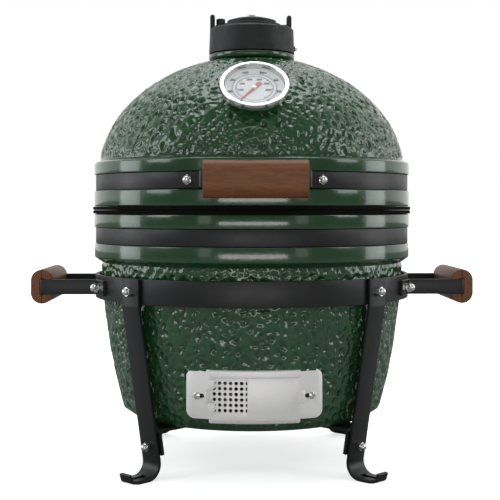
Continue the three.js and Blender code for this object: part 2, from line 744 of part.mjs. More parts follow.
// The slot's round upper end, cut through the bend from the inside up to x = end.
function standingSlot(end) {
  const low = -STRAP_T / 2;
  const top = FOOT_SLOT_TOP - FOOT_SLOT_W / 2;
  const slot = prism(stadium(top - low, FOOT_SLOT_W / 2), HEEL_BEND + 2 * STRAP_T);
  return slot.rotateY(-Math.PI / 2).translate(end, 0, (top + low) / 2);
}

// Two crossed flat bars under the bowl, their ends bent down behind the legs.
function crossGeometry() {
  const setBack = (STRAP_T + GAP) / Math.cos(LEAN);
  const tab = (z) => legMiddle(z) - setBack;
  const path = roundCorners(
    [
      v2(tab(CROSS_TAB_Z), CROSS_TAB_Z),
      v2(tab(CROSS_Z), CROSS_Z),
      v2(-tab(CROSS_Z), CROSS_Z),
      v2(-tab(CROSS_TAB_Z), CROSS_TAB_Z),
    ],
    [CROSS_BEND, CROSS_BEND],
  );
  const bar = () => standing(strip(path, STRAP_T), CROSS_W);
  const drills = LEG_AZIMUTHS.map((azimuth) => {
    const hole = drill(BOLT_R + GAP, -2.5 * STRAP_T, 0, 0);
    return face(hole.rotateY(LEAN).translate(legMiddle(LOWER_BOLT_Z), 0, LOWER_BOLT_Z), azimuth);
  });
  return cut(join(face(bar(), LEG_AZIMUTHS[0]), face(bar(), LEG_AZIMUTHS[1])), ...drills);
}

const LEG_NAMES = ["front_left", "front_right", "rear_right", "rear_left"];

part(stand, "stand_ring", ringGeometry(), POWDER);
part(stand, "cross_base", crossGeometry(), POWDER);
LEG_AZIMUTHS.forEach((azimuth, i) => {
  const corner = turnedTo(stand, azimuth);
  part(corner, `leg_${LEG_NAMES[i]}`, legGeometry(), POWDER);
  acornBolt(corner, `ring_bolt_${LEG_NAMES[i]}`, RING_HEAD_R, RING_Z, RING_GRIP);
  const lowerX = legMiddle(LOWER_BOLT_Z) - (1.5 * STRAP_T + 2 * GAP) * Math.cos(LEAN);
  const lowerZ = LOWER_BOLT_Z + (1.5 * STRAP_T + 2 * GAP) * Math.sin(LEAN);
  const lowerGrip = 2 * STRAP_T + 3 * GAP;
  acornBolt(corner, `cross_bolt_${LEG_NAMES[i]}`, lowerX, lowerZ, lowerGrip, { lean: LEAN });
});

// ---------- Handles ----------

// Half of a wooden grip, lying along Y, with its split face at x = 0 and a groove for the strap's bar.
function gripHalfGeometry(length, side) {
  const straight = GRIP_H - GRIP_W;
  const section = stadium(straight, GRIP_W / 2);
  const whole = prism(section, length, -length / 2, 10);
  whole.rotateZ(Math.PI / 2).rotateX(Math.PI / 2);
  const far = GRIP_W;
  const awayX = side > 0 ? [-far, GAP / 2] : [-GAP / 2, far];
  const away = block(...awayX, -length, length, -GRIP_H, GRIP_H);
  const deep = STRAP_T / 2 + GAP;
  const tall = HANDLE_STRAP_H / 2 + GAP;
  const groove = block(-deep, deep, -length, length, -tall, tall);
  return cut(whole, away, groove);
}

// The strap of a handle in plan: its bar at x = barX between two arms, and feet that follow a ring of
// radius footR.
function handleStrapGeometry(barX, armY, footR, footEnd, boltAt) {
  const armAngle = Math.asin(armY / footR);
  const foot = spread(footEnd, armAngle, 4).map((a) => v2(footR * Math.cos(a), footR * Math.sin(a)));
  const half = [...foot, v2(barX, armY)];
  const other = half.map((p) => v2(p.x, -p.y)).reverse();
  const path = roundCorners([...half, ...other], [0, 0, 3, BAR_BEND, BAR_BEND, 3, 0, 0]);
  const bar = prism(strip(path, STRAP_T), HANDLE_STRAP_H, -HANDLE_STRAP_H / 2);
  const drills = [boltAt, -boltAt].map((angle) => {
    return drill(BOLT_R + GAP, footR - STRAP_T, footR + STRAP_T, 0).rotateZ(angle);
  });
  return cut(bar, ...drills);
}

function sideHandle(side, azimuth) {
  const arm = SIDE_GRIP_L / 2 + GAP + STRAP_T / 2;
  const group = turnedTo(stand, azimuth);
  const boltAt = rad(90 - SIDE_BOLT_AZ);
  const end = rad(90 - SIDE_FOOT_END_AZ);
  const strap = handleStrapGeometry(SIDE_GRIP_X, arm, PAD_R + STRAP_T / 2, end, boltAt);
  part(group, `${side}_handle_strap`, strap, POWDER).position.z = RING_Z;
  for (const [name, way] of [["outer", 1], ["inner", -1]]) {
    const half = part(group, `${side}_grip_${name}`, gripHalfGeometry(SIDE_GRIP_L, way), WOOD);
    half.position.set(SIDE_GRIP_X, 0, RING_Z);
  }
  for (const [name, way] of [["a", 1], ["b", -1]]) {
    const place = turnedTo(group, 90 + (way * boltAt * 180) / Math.PI);
    const boltName = `${side}_handle_bolt_${name}`;
    acornBolt(place, boltName, RING_HEAD_R, RING_Z, RING_GRIP);
  }
}

sideHandle("right", 90);
sideHandle("left", -90);

function lidHandle() {
  const barX = LID_GRIP_FRONT - GRIP_W / 2;
  const arm = LID_GRIP_L / 2 + GAP + STRAP_T / 2;
  const group = turnedTo(lid, 0);
  const middle = DOME_BAND_Z + BAND_H / 2;
  const footR = BAND_R + GAP + STRAP_T / 2;
  const strap = handleStrapGeometry(barX, arm, footR, rad(LID_FOOT_END_AZ), rad(LID_HANDLE_BOLT_AZ));
  part(group, "lid_handle_strap", strap, POWDER).position.z = middle;
  for (const [name, way] of [["front", 1], ["rear", -1]]) {
    const half = part(group, `lid_grip_${name}`, gripHalfGeometry(LID_GRIP_L, way), WOOD);
    half.position.set(barX, 0, middle);
  }
  for (const [name, azimuth] of [["left", -LID_HANDLE_BOLT_AZ], ["right", LID_HANDLE_BOLT_AZ]]) {
    const stud = turnedTo(lid, azimuth);
    const grip = BAND_T + STRAP_T + GAP;
    acornBolt(stud, `lid_handle_stud_${name}`, BAND_R - BAND_T + GAP, middle, grip, { headed: false });
  }
}

lidHandle();

// ---------- Dome ----------

function domeGeometry() {
  const collarTop = LID_Z + LID_COLLAR_H;
  const texturedFrom = collarTop + LID_COLLAR_DROP;
  const neckFoot = NECK_Z - NECK_FILLET;
  const outside = [
    [SHELL_R - RIM_EDGE, LID_Z],
    [SHELL_R, LID_Z + RIM_EDGE],
    [SHELL_R, DOME_BAND_Z],
    [SHELL_R - GROOVE_DEPTH, DOME_BAND_Z],
    [SHELL_R - GROOVE_DEPTH, DOME_BAND_Z + BAND_H],
    [SHELL_R, DOME_BAND_Z + BAND_H],
    [SHELL_R, collarTop],
    [SHELL_R - 3, texturedFrom - 1],
  ];
  // Equal steps of angle on the outline, from the collar up to the neck.
  const angleAt = (z, inset) => Math.asin((z - DOME_CENTRE_Z) / (DOME_RISE - inset));
  const bend = (from, to, inset, count) =>
    spread(angleAt(from, inset), angleAt(to, inset), count).map((a) => [
      (DOME_R - inset) * Math.cos(a),
      DOME_CENTRE_Z + (DOME_RISE - inset) * Math.sin(a),
    ]);
  const top = [
    [NECK_R, neckFoot + 3],
    [NECK_R, NECK_Z],
    [SPIGOT_R, NECK_Z],
    [SPIGOT_R, NECK_Z + SPIGOT_H],
    [THROAT_R, NECK_Z + SPIGOT_H],
  ];
  const throatShare = THROAT_R / (DOME_R - DOME_WALL);
  const insideTop = DOME_CENTRE_Z + (DOME_RISE - DOME_WALL) * Math.sqrt(1 - throatShare ** 2);
  const inside = [
    ...bend(insideTop, DOME_CENTRE_Z, DOME_WALL, 5),
    [DOME_R - DOME_WALL, LID_Z],
  ];
  const shell = turned([...outside, ...bend(texturedFrom, neckFoot, 0, 8), ...top, ...inside]);
  return cut(shell, dialAxis(rod(PROBE_R + GAP, 4 * DOME_WALL, 12)));
}

// Moves what was built along +Z, with the dome's surface at 0, to the dial's place and tilt.
function dialAxis(geometry) {
  return geometry.applyMatrix4(dialMatrix());
}

function dialMatrix() {
  const z = LID_Z + DIAL_UP;
  const place = new THREE.Matrix4().makeTranslation(0, -domeRadius(z), z);
  return place.multiply(new THREE.Matrix4().makeRotationX(rad(90 - DIAL_TILT)));
}

part(lid, "dome_shell", domeGeometry(), GLAZE);

// ---------- Thermometer ----------

const DIAL_SIDES = 24;
const CASE_BACK = DIAL_PROUD - CASE_DEPTH;

function caseGeometry() {
  const bezelFoot = DIAL_PROUD - BEZEL_H;
  return cut(
    turned(
      [
        [0, CASE_BACK],
        [CASE_R - 2, CASE_BACK],
        [CASE_R, CASE_BACK + 2],
        [CASE_R, bezelFoot],
        [BEZEL_R - 1, bezelFoot],
        [BEZEL_R, bezelFoot + 1],
        [BEZEL_R, DIAL_PROUD - 2],
        [BEZEL_R - 2.5, DIAL_PROUD],
        [DIAL_WINDOW_R, DIAL_PROUD - 1],
        [DIAL_WINDOW_R, CASE_BACK + CASE_WALL],
        [0, CASE_BACK + CASE_WALL],
      ],
      DIAL_SIDES,
    ),
    rod(PROBE_R + GAP, 3 * CASE_WALL).translate(0, 0, CASE_BACK),
  );
}

function discOf(radius, low, thickness, holeRadius) {
  return turned(
    [
      [holeRadius, low],
      [radius, low],
      [radius, low + thickness],
      [holeRadius, low + thickness],
    ],
    DIAL_SIDES,
  );
}

const DIAL_T = 1;
const SPINDLE_R = 1.6;
const dialLow = CASE_BACK + CASE_WALL + GAP;
const needleLow = dialLow + DIAL_T + 0.6;
const lensLow = needleLow + 2.6;

// The needle lies in the face's plane, pointing down in it, and turns on a short spindle through the dial.
function needleGeometry() {
  const outline = new THREE.Shape([
    v2(-0.5, -NEEDLE_TIP),
    v2(0.5, -NEEDLE_TIP),
    v2(1.1, 0),
    v2(1.9, NEEDLE_TAIL),
    v2(-1.9, NEEDLE_TAIL),
    v2(-1.1, 0),
  ]);
  const pointer = prism(outline, NEEDLE_T, needleLow);
  const hub = rod(NEEDLE_HUB_R, 2 * NEEDLE_T, 16).translate(0, 0, needleLow + NEEDLE_T);
  const spindle = rod(SPINDLE_R, 2 * DIAL_T, 12).translate(0, 0, needleLow - 0.7 * DIAL_T);
  return join(pointer, hub, spindle).rotateZ(rad(NEEDLE_ANGLE));
}

// The probe passes through the dome, with a collar that stands on its surface under the case.
function probeGeometry() {
  const collarFoot = 1.5;
  return turned(
    [
      [0, -PROBE_L],
      [PROBE_R * 0.7, -PROBE_L],
      [PROBE_R, -PROBE_L + 2],
      [PROBE_R, collarFoot],
      [PROBE_COLLAR_R, collarFoot],
      [PROBE_COLLAR_R, CASE_BACK - GAP],
      [PROBE_R, CASE_BACK - GAP],
      [PROBE_R, CASE_BACK + CASE_WALL],
      [0, CASE_BACK + CASE_WALL],
    ],
    12,
  );
}

function probeNutGeometry() {
  const middle = -DOME_WALL - PROBE_NUT_UP;
  const nut = hexPrism(PROBE_NUT_FLATS, PROBE_NUT_H).translate(0, 0, middle);
  return cut(nut, rod(PROBE_R + GAP, 3 * PROBE_NUT_H).translate(0, 0, middle));
}

const dial = new THREE.Group();
dial.applyMatrix4(dialMatrix());
lid.add(dial);
part(dial, "thermometer_case", caseGeometry(), BRIGHT);
part(dial, "thermometer_dial", discOf(DIAL_WINDOW_R - GAP, dialLow, DIAL_T, SPINDLE_R + GAP), PAPER);
part(dial, "thermometer_needle", needleGeometry(), RED);
part(dial, "thermometer_lens", turned([
  [0, lensLow],
  [DIAL_WINDOW_R - GAP, lensLow],
  [DIAL_WINDOW_R - GAP, lensLow + LENS_T],
  [0, lensLow + LENS_T],
], DIAL_SIDES), CLEAR);
part(dial, "thermometer_probe", probeGeometry(), STAINLESS);
part(dial, "thermometer_nut", probeNutGeometry(), STAINLESS);

// ---------- Top vent ----------

function ventHousingGeometry() {
  const sleeve = SPIGOT_R + GAP;
  const ring = turned(
    [
      [sleeve, VENT_Z],
      [VENT_R, VENT_Z],
      [VENT_TOP_R, VENT_TOP_Z - VENT_CHAMFER],
      [VENT_TOP_R - VENT_CHAMFER, VENT_TOP_Z],
      [VENT_HOLE_R, VENT_TOP_Z],
      [VENT_HOLE_R, VENT_TOP_Z - VENT_PLATE_T],
      [sleeve, VENT_TOP_Z - VENT_PLATE_T],
    ],
    ROUND,
  );
  const earFoot = VENT_TOP_Z - 3;
  const ear = block(
    -VENT_EAR_X - VENT_EAR_T / 2,
    -VENT_EAR_X + VENT_EAR_T / 2,
    -VENT_EAR_HALF_W,
    VENT_EAR_HALF_W,
    earFoot,
    VENT_TOP_Z + VENT_EAR_H,
  );
  const pivotHole = rod(BOLT_R + GAP, 20).translate(-DISC_PIVOT_X, 0, VENT_TOP_Z);
  return cut(join(ring, ear), pivotHole);
}

function petalHoles(height, z, radius) {
  return ringOf(PETALS, PETAL_AT, Math.PI / PETALS).map(([x, y]) => {
    return rod(radius, height, 8).translate(x, y, z);
  });
}

function slideDiscGeometry() {
  const disc = rod(DISC_R, DISC_T, 40).translate(0, 0, DISC_Z + DISC_T / 2);
  const lobe = rod(DISC_LOBE_R, DISC_T, 16).translate(-DISC_PIVOT_X, 0, DISC_Z + DISC_T / 2);
  const arm = block(
    -DISC_PIVOT_X,
    DISC_TAB_X,
    -DISC_ARM_W / 2,
    DISC_ARM_W / 2,
    DISC_Z,
    DISC_Z + DISC_T,
  );
  const tab = block(
    DISC_TAB_X - VENT_EAR_T,
    DISC_TAB_X,
    -DISC_ARM_W / 2,
    DISC_ARM_W / 2,
    DISC_Z,
    VENT_TOP_Z + DISC_TAB_H,
  );
  const pivotHole = rod(BOLT_R + GAP, 3 * DISC_T).translate(-DISC_PIVOT_X, 0, DISC_Z);
  const centreHole = rod(BOLT_R + GAP, 3 * DISC_T).translate(0, 0, DISC_Z);
  const counterbore = rod(HEAD_R + GAP, 5).translate(0, 0, DISC_Z);
  return cut(
    join(disc, lobe, arm, tab),
    pivotHole,
    centreHole,
    counterbore,
    ...petalHoles(3 * DISC_T, DISC_Z, PETAL_R),
  );
}

// A shallow dome with a hub that bears on the disc.
function daisyGeometry() {
  const top = DAISY_Z + DAISY_H;
  const bore = BOLT_R + GAP;
  const crown = spread(0, 1, 4).map((t) => {
    const r = DAISY_R + (DAISY_HUB_R - DAISY_R) * t;
    return [r, DAISY_Z + DAISY_EDGE + (DAISY_H - DAISY_EDGE) * Math.sin((t * Math.PI) / 2)];
  });
  const under = crown
    .slice(1, 3)
    .reverse()
    .map(([r, z]) => [r, z - DAISY_WALL]);
  const body = turned(
    [
      [bore, DAISY_Z],
      [DAISY_HUB_R, DAISY_Z],
      [DAISY_HUB_R, top - DAISY_WALL],
      ...under,
      [DAISY_R - DAISY_WALL, DAISY_Z],
      [DAISY_R, DAISY_Z],
      ...crown,
      [bore, top],
    ],
    DIAL_SIDES,
  );
  return cut(body, ...petalHoles(4 * DAISY_H, DAISY_Z, PETAL_R - 0.5));
}

// A bolt up through the disc and the wheel, its head let into the disc, with a hex nut on top.
function daisyBoltGeometry() {
  const headLow = DISC_Z + GAP;
  const nutLow = DAISY_Z + DAISY_H + GAP;
  const bolt = turned(
    [
      [0, headLow],
      [HEAD_R, headLow],
      [HEAD_R, headLow + LOW_HEAD_H],
      [BOLT_R, headLow + LOW_HEAD_H],
      [BOLT_R, nutLow + NEAR_NUT_H / 2],
      [0, nutLow + NEAR_NUT_H / 2],
    ],
    12,
  );
  return join(bolt, hexPrism(NUT_FLATS, NEAR_NUT_H).translate(0, 0, nutLow + NEAR_NUT_H / 2));
}

function pivotBoltGeometry() {
  const headLow = DISC_Z + DISC_T + GAP;
  const footZ = VENT_TOP_Z - VENT_PLATE_T;
  const shank = rod(BOLT_R, headLow + 1 - footZ, 12).translate(0, 0, (headLow + 1 + footZ) / 2);
  const head = hexPrism(NUT_FLATS, PIVOT_HEAD_H).translate(0, 0, headLow + PIVOT_HEAD_H / 2);
  return join(shank, head).translate(-DISC_PIVOT_X, 0, 0);
}

part(lid, "vent_housing", ventHousingGeometry(), CAST);
part(lid, "vent_slide_disc", slideDiscGeometry(), CAST);
part(lid, "vent_pivot_bolt", pivotBoltGeometry(), BRIGHT);
part(lid, "daisy_wheel", daisyGeometry(), CAST);
part(lid, "daisy_bolt", daisyBoltGeometry(), BRIGHT);

// ---------- Hinge ----------

// An ear in the plane of Y and Z, from its plate to a round eye about the pin.
function earGeometry(outline, x, eyeR) {
  const eye = rod(eyeR, HINGE_EAR_T, 16).rotateY(Math.PI / 2).translate(x, HINGE_Y, HINGE_Z);
  const web = prism(new THREE.Shape(outline), HINGE_EAR_T, -HINGE_EAR_T / 2);
  // Drawn as (y, z): stand it up and slide it to its x.
  web.applyMatrix4(
    new THREE.Matrix4().makeBasis(
      new THREE.Vector3(0, 1, 0),
      new THREE.Vector3(0, 0, 1),
      new THREE.Vector3(1, 0, 0),
    ),
  );
  return join(web.translate(x, 0, 0), eye);
}

function pinHole() {
  return rod(HINGE_PIN_R + GAP, 4 * HINGE_OUTER_X, 12).rotateY(Math.PI / 2).translate(0, HINGE_Y, HINGE_Z);
}

function lowerBracketGeometry() {
  const plateR = BAND_R + GAP;
  const low = BASE_BAND_Z + GAP;
  const high = BASE_BAND_Z + BAND_H - GAP;
  const plateEnds = [180 - HINGE_LOWER_HALF, 180 + HINGE_LOWER_HALF];
  const plate = sector(plateR, plateR + HINGE_PLATE_T, ...plateEnds, low, high, 6);
  const web = [
    v2(BAND_R - 0.4, low),
    v2(HINGE_Y - 8, low),
    v2(LID_GRIP_FRONT - 0.5, HINGE_Z - 3),
    v2(HINGE_Y - 12.5, HINGE_Z + 6),
    v2(BAND_R + 5, high),
    v2(BAND_R - 0.4, high),
  ];
  const ears = [-HINGE_OUTER_X, HINGE_OUTER_X].map((x) => earGeometry(web, x, HINGE_EAR_R));
  return cut(join(plate, ...ears), pinHole());
}

function upperBracketGeometry() {
  const plateR = BAND_R + GAP;
  const low = DOME_BAND_Z + GAP;
  const high = DOME_BAND_Z + BAND_H - GAP;
  const plateEnds = [180 - HINGE_UPPER_HALF, 180 + HINGE_UPPER_HALF];
  const plate = sector(plateR, plateR + HINGE_PLATE_T, ...plateEnds, low, high, 6);
  const eyeR = HINGE_EAR_R - 2;
  const web = [
    v2(BAND_R + 0.6, low),
    v2(BAND_R + 5, low),
    v2(HINGE_Y - 9, HINGE_Z - 7),
    v2(HINGE_Y + 9, HINGE_Z + 7),
    v2(BAND_R + 9, high),
    v2(BAND_R + 0.6, high),
  ];
  const ears = [-HINGE_INNER_X, HINGE_INNER_X].map((x) => earGeometry(web, x, eyeR));
  return cut(join(plate, ...ears), pinHole());
}

function hingePinGeometry() {
  const headX = HINGE_OUTER_X + HINGE_EAR_T / 2 + GAP;
  return turnedAlongX(
    [
      [0, -headX - PIN_HEAD_T],
      [PIN_HEAD_R, -headX - PIN_HEAD_T],
      [PIN_HEAD_R, -headX],
      [HINGE_PIN_R, -headX],
      [HINGE_PIN_R, headX],
      [PIN_HEAD_R, headX],
      [PIN_HEAD_R, headX + PIN_HEAD_T],
      [0, headX + PIN_HEAD_T],
    ],
    12,
  ).translate(0, HINGE_Y, HINGE_Z);
}

// A torsion spring round the pin, its two ends standing off the coil.
class SpringCurve extends THREE.Curve {
  constructor(from, to) {
    super();
    this.from = from;
    this.to = to;
  }
  getPoint(t) {
    const angle = 2 * Math.PI * SPRING_TURNS * t;
    const x = this.from + (this.to - this.from) * t;
    return new THREE.Vector3(x, HINGE_Y + SPRING_R * Math.cos(angle), HINGE_Z + SPRING_R * Math.sin(angle));
  }
}

function springGeometry(side) {
  const near = 2 + SPRING_WIRE_R;
  const far = HINGE_INNER_X - HINGE_EAR_T / 2 - SPRING_WIRE_R - 1;
  const curve = new SpringCurve(side * near, side * far);
  const wire = new THREE.Shape().absarc(0, 0, SPRING_WIRE_R, 0, 2 * Math.PI, false);
  return new THREE.ExtrudeGeometry(wire, {
    steps: SPRING_TURNS * 10,
    curveSegments: 3,
    bevelEnabled: false,
    extrudePath: curve,
  });
}

part(base, "hinge_lower_bracket", lowerBracketGeometry(), POWDER);
part(lid, "hinge_upper_bracket", upperBracketGeometry(), POWDER);
part(base, "hinge_pin", hingePinGeometry(), STAINLESS);
part(base, "hinge_spring_right", springGeometry(1), STAINLESS);
part(base, "hinge_spring_left", springGeometry(-1), STAINLESS);

// ---------- Draft door ----------

// End plates screwed to the pad, joined by two channels that the screen and the door slide in.
function draftFrameGeometry() {
  const back = FRAME_R;
  const front = FRAME_R + SHEET_T;
  const lipOut = LIP_R + SHEET_T;
  const plate = sector(back, front, -FRAME_HALF, FRAME_HALF, FRAME_Z, FRAME_TOP_Z, 12);
  const channels = [
    sector(back, lipOut, -CHANNEL_HALF, CHANNEL_HALF, CHANNEL_TOP_Z - SHEET_T, CHANNEL_TOP_Z),
    sector(LIP_R, lipOut, -CHANNEL_HALF, CHANNEL_HALF, CHANNEL_TOP_Z - CHANNEL_TOP_LIP, CHANNEL_TOP_Z),
    sector(back, lipOut, -CHANNEL_HALF, CHANNEL_HALF, CHANNEL_Z, CHANNEL_Z + SHEET_T),
    sector(LIP_R, lipOut, -CHANNEL_HALF, CHANNEL_HALF, CHANNEL_Z, CHANNEL_Z + CHANNEL_FOOT_LIP),
    sector(back, front, -CHANNEL_HALF, CHANNEL_HALF, CHANNEL_Z, FRAME_Z + 1),
  ];
  const window = sector(
    back - 5,
    front + 0.5,
    -DRAFT_OPENING_HALF,
    DRAFT_OPENING_HALF,
    DRAFT_Z - DRAFT_OPENING_H / 2,
    DRAFT_Z + DRAFT_OPENING_H / 2,
  );
  const slots = [1, -1].map((side) => {
    const slot = prism(stadium(DRAFT_SLOT_SPAN, DRAFT_SCREW_R + GAP), 8 * SHEET_T, -4 * SHEET_T);
    slot.applyMatrix4(
      new THREE.Matrix4().makeBasis(
        new THREE.Vector3(0, 1, 0),
        new THREE.Vector3(0, 0, 1),
        new THREE.Vector3(1, 0, 0),
      ),
    );
    const towardsMiddle = (-side * DRAFT_SLOT_SPAN) / 2;
    return face(slot.translate(FRAME_R, towardsMiddle, DRAFT_Z), side * DRAFT_SCREW_AZ);
  });
  return cut(join(plate, ...channels), window, ...slots);
}

// A finger tab: a small plate standing out of a slider at an azimuth.
function fingerTab(azimuth, from, z) {
  const start = azimuth - DRAFT_TAB_HALF;
  return sector(from, from + DRAFT_TAB_OUT, start, azimuth + DRAFT_TAB_HALF, z, z + DRAFT_TAB_H, 2);
}

const SLIDER_LOW = CHANNEL_Z + SHEET_T + GAP;
const SLIDER_HIGH = CHANNEL_TOP_Z - SHEET_T - GAP;
const SLIDER_END = CHANNEL_HALF - SLIDER_SHORT;

function draftScreenGeometry() {
  const sheet = sector(
    SCREEN_R,
    SCREEN_R + SLIDER_T,
    -SLIDER_END,
    SCREEN_EDGE_AZ,
    SLIDER_LOW,
    SLIDER_HIGH,
    4,
  );
  const pitch = THREE.MathUtils.radToDeg(DRAFT_HOLE_PITCH / SCREEN_R);
  const holes = [];
  for (let column = 0; column < DRAFT_HOLE_COLUMNS; column++) {
    for (let row = 0; row < DRAFT_HOLE_ROWS; row++) {
      const z = DRAFT_Z + (row - (DRAFT_HOLE_ROWS - 1) / 2) * DRAFT_HOLE_PITCH;
      const hole = drill(DRAFT_HOLE_R, SCREEN_R - SLIDER_T, SCREEN_R + 2 * SLIDER_T, z, 4);
      holes.push(face(hole, DOOR_EDGE_AZ - column * pitch));
    }
  }
  const tab = fingerTab(-SLIDER_END + DRAFT_TAB_IN, SCREEN_R + SLIDER_T / 2, DRAFT_Z - DRAFT_TAB_H / 2);
  return cut(join(sheet, tab), ...holes);
}

function draftDoorGeometry() {
  const sheet = sector(DOOR_R, DOOR_R + SLIDER_T, DOOR_EDGE_AZ, SLIDER_END, SLIDER_LOW, SLIDER_HIGH, 4);
  const tab = fingerTab(SLIDER_END - DRAFT_TAB_IN, DOOR_R + SLIDER_T / 2, DRAFT_Z - DRAFT_TAB_H / 2);
  return join(sheet, tab);
}

function draftScrewGeometry() {
  const bearing = FRAME_R + SHEET_T + GAP;
  return turnedAlongX(
    [
      [0, DRAFT_R - DRAFT_SCREW_L],
      [DRAFT_SCREW_R, DRAFT_R - DRAFT_SCREW_L + 1],
      [DRAFT_SCREW_R, bearing],
      [DRAFT_HEAD_R, bearing],
      [DRAFT_HEAD_R, bearing + 0.8 * DRAFT_HEAD_H],
      [0.8 * DRAFT_HEAD_R, bearing + DRAFT_HEAD_H],
      [0, bearing + DRAFT_HEAD_H],
    ],
    12,
  );
}

part(base, "draft_frame", draftFrameGeometry(), STAINLESS);
part(base, "draft_screen", draftScreenGeometry(), STAINLESS);
part(base, "draft_door", draftDoorGeometry(), STAINLESS);
for (const [name, azimuth] of [["left", -DRAFT_SCREW_AZ], ["right", DRAFT_SCREW_AZ]]) {
  part(turnedTo(base, azimuth), `draft_screw_${name}`, draftScrewGeometry(), BRIGHT).position.z = DRAFT_Z;
}

export default grill;
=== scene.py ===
import json
import math

import bmesh
import bpy
from mathutils import Matrix, Vector, noise

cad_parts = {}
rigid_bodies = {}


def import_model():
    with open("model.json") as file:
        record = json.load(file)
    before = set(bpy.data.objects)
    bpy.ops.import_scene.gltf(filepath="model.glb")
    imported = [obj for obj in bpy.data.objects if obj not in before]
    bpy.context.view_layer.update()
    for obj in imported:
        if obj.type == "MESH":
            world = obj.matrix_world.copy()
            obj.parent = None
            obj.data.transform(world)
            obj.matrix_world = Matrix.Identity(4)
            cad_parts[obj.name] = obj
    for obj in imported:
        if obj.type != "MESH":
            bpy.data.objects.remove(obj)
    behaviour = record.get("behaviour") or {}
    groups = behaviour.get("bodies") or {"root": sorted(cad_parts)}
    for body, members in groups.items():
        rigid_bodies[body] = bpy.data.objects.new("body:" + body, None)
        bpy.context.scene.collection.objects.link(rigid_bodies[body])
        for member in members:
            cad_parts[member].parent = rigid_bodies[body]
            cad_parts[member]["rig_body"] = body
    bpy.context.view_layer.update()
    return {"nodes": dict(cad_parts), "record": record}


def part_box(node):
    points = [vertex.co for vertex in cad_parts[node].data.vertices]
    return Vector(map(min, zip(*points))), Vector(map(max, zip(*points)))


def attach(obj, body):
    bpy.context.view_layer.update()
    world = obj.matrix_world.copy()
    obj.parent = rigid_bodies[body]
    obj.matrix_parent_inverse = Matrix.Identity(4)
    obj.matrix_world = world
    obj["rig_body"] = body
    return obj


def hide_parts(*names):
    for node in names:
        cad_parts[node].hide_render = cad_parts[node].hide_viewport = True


# The looks of a compact ceramic charcoal grill. Metres, +Z up, the front faces -Y.
# An azimuth is in degrees from the front, positive towards +X.

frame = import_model()
SCENE = bpy.context.scene

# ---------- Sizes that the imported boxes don't give ----------

GAP = 0.0003
STEEL_EDGE = 0.0007  # rounding of the flat bars' edges
TURN = 192  # steps round a large smooth ring

BODY_R = 0.192  # bowl outline: half axes and the height of its widest part
BODY_RISE = 0.417
BODY_WIDEST_Z = 0.290
BOWL_WALL = 0.022
FOOT_R = 0.152  # corner between the bowl's flat foot and its fillet
FOOT_FILLET = 0.010
COLLAR_Z = 0.252
COLLAR_DROP = 0.006
GROOVE_DEPTH = 0.0048
DOME_R = 0.195  # dome outline
DOME_RISE = 0.153
DOME_CENTRE_UP = 0.0379
DOME_WALL = 0.020
LID_COLLAR_H = 0.054
NECK_R = 0.0555
NECK_UP = 0.1948
SPIGOT_R = 0.0495
SPIGOT_H = 0.0215
THROAT_R = 0.036
NECK_FILLET = 0.0085
BAND_T = 0.0028

DIMPLE = 0.0098  # spacing of the glaze's dimples
DIMPLE_DEPTH = 0.0037
RELIEF_STEPS = 720  # steps round the textured shells
RELIEF_ROW = 0.0018  # between their rows
RELIEF_FADE = 0.004  # the dimples fade out over this height at a shell's smooth edges

DRAFT_Z = 0.105
DRAFT_PAD_H = 0.056
DRAFT_PAD_HALF = 25  # degrees
DRAFT_OPENING_HALF = 15.5  # degrees
DRAFT_OPENING_H = 0.042
FRAME_R = 0.1767  # back of the frame
FRAME_H = 0.0565
FRAME_UP = 0.002  # middle of the frame above the middle of the opening
FRAME_HALF = 26.1  # degrees
FRAME_CORNER = 0.010
CHANNEL_H = 0.0584
CHANNEL_DROP = 0.001  # middle of the channels below the middle of the opening
CHANNEL_HALF = 17  # degrees
TOP_LIP = 0.0083
FOOT_LIP = 0.0056
SLIDER_END_AZ = 16.7
DOOR_EDGE_AZ = -2.7
SCREEN_EDGE_AZ = 1.2
DRAFT_SCREW_AZ = 21.6
SLOT_SPAN = 0.006
HOLE_R = 0.002
HOLE_ROWS = 6
HOLE_COLUMNS = 7
HOLE_PITCH = 0.0062
HOLE_STEP_AZ = 2.025  # degrees from one column to the next
TAB_OUT = 0.010
TAB_H = 0.016
TAB_LEAN = 0.0034
SHEET_T = 0.0015
SLIDER_T = 0.001

STRAP_T = 0.004
LEG_W = 0.029
LEG_KNEE_Z = 0.205
LEG_LEAN = math.radians(9.81)
KNEE_BEND = 0.014
HEEL_BEND = 0.024
TIP_BEND = 0.004
FOOT_TIP_R = 0.213
FOOT_TIP_H = 0.011
FOOT_TIP_W = 0.017
FOOT_END_L = 0.012
FOOT_TAPER_L = 0.007
FOOT_SLOT_W = 0.008
FOOT_SLOT_TOP = 0.012
FOOT_SLOT_END = 0.008
LOWER_BOLT_Z = 0.039
LEG_AZIMUTHS = {"front_left": -45, "front_right": 45, "rear_right": 135, "rear_left": -135}

GRIP_H = 0.042
GRIP_W = 0.027
HANDLE_STRAP_H = 0.0184
SIDE_BOLT_AZ = 67.5
SIDE_FOOT_END_AZ = 62.5
LID_BOLT_AZ = 21.4
LID_FOOT_END_AZ = 25.6

BOLT_R = 0.003
HEAD_R = 0.005
HEAD_H = 0.003
NUT_FLATS = 0.010
NUT_H = 0.0055
NUT_CAP_H = 0.0048

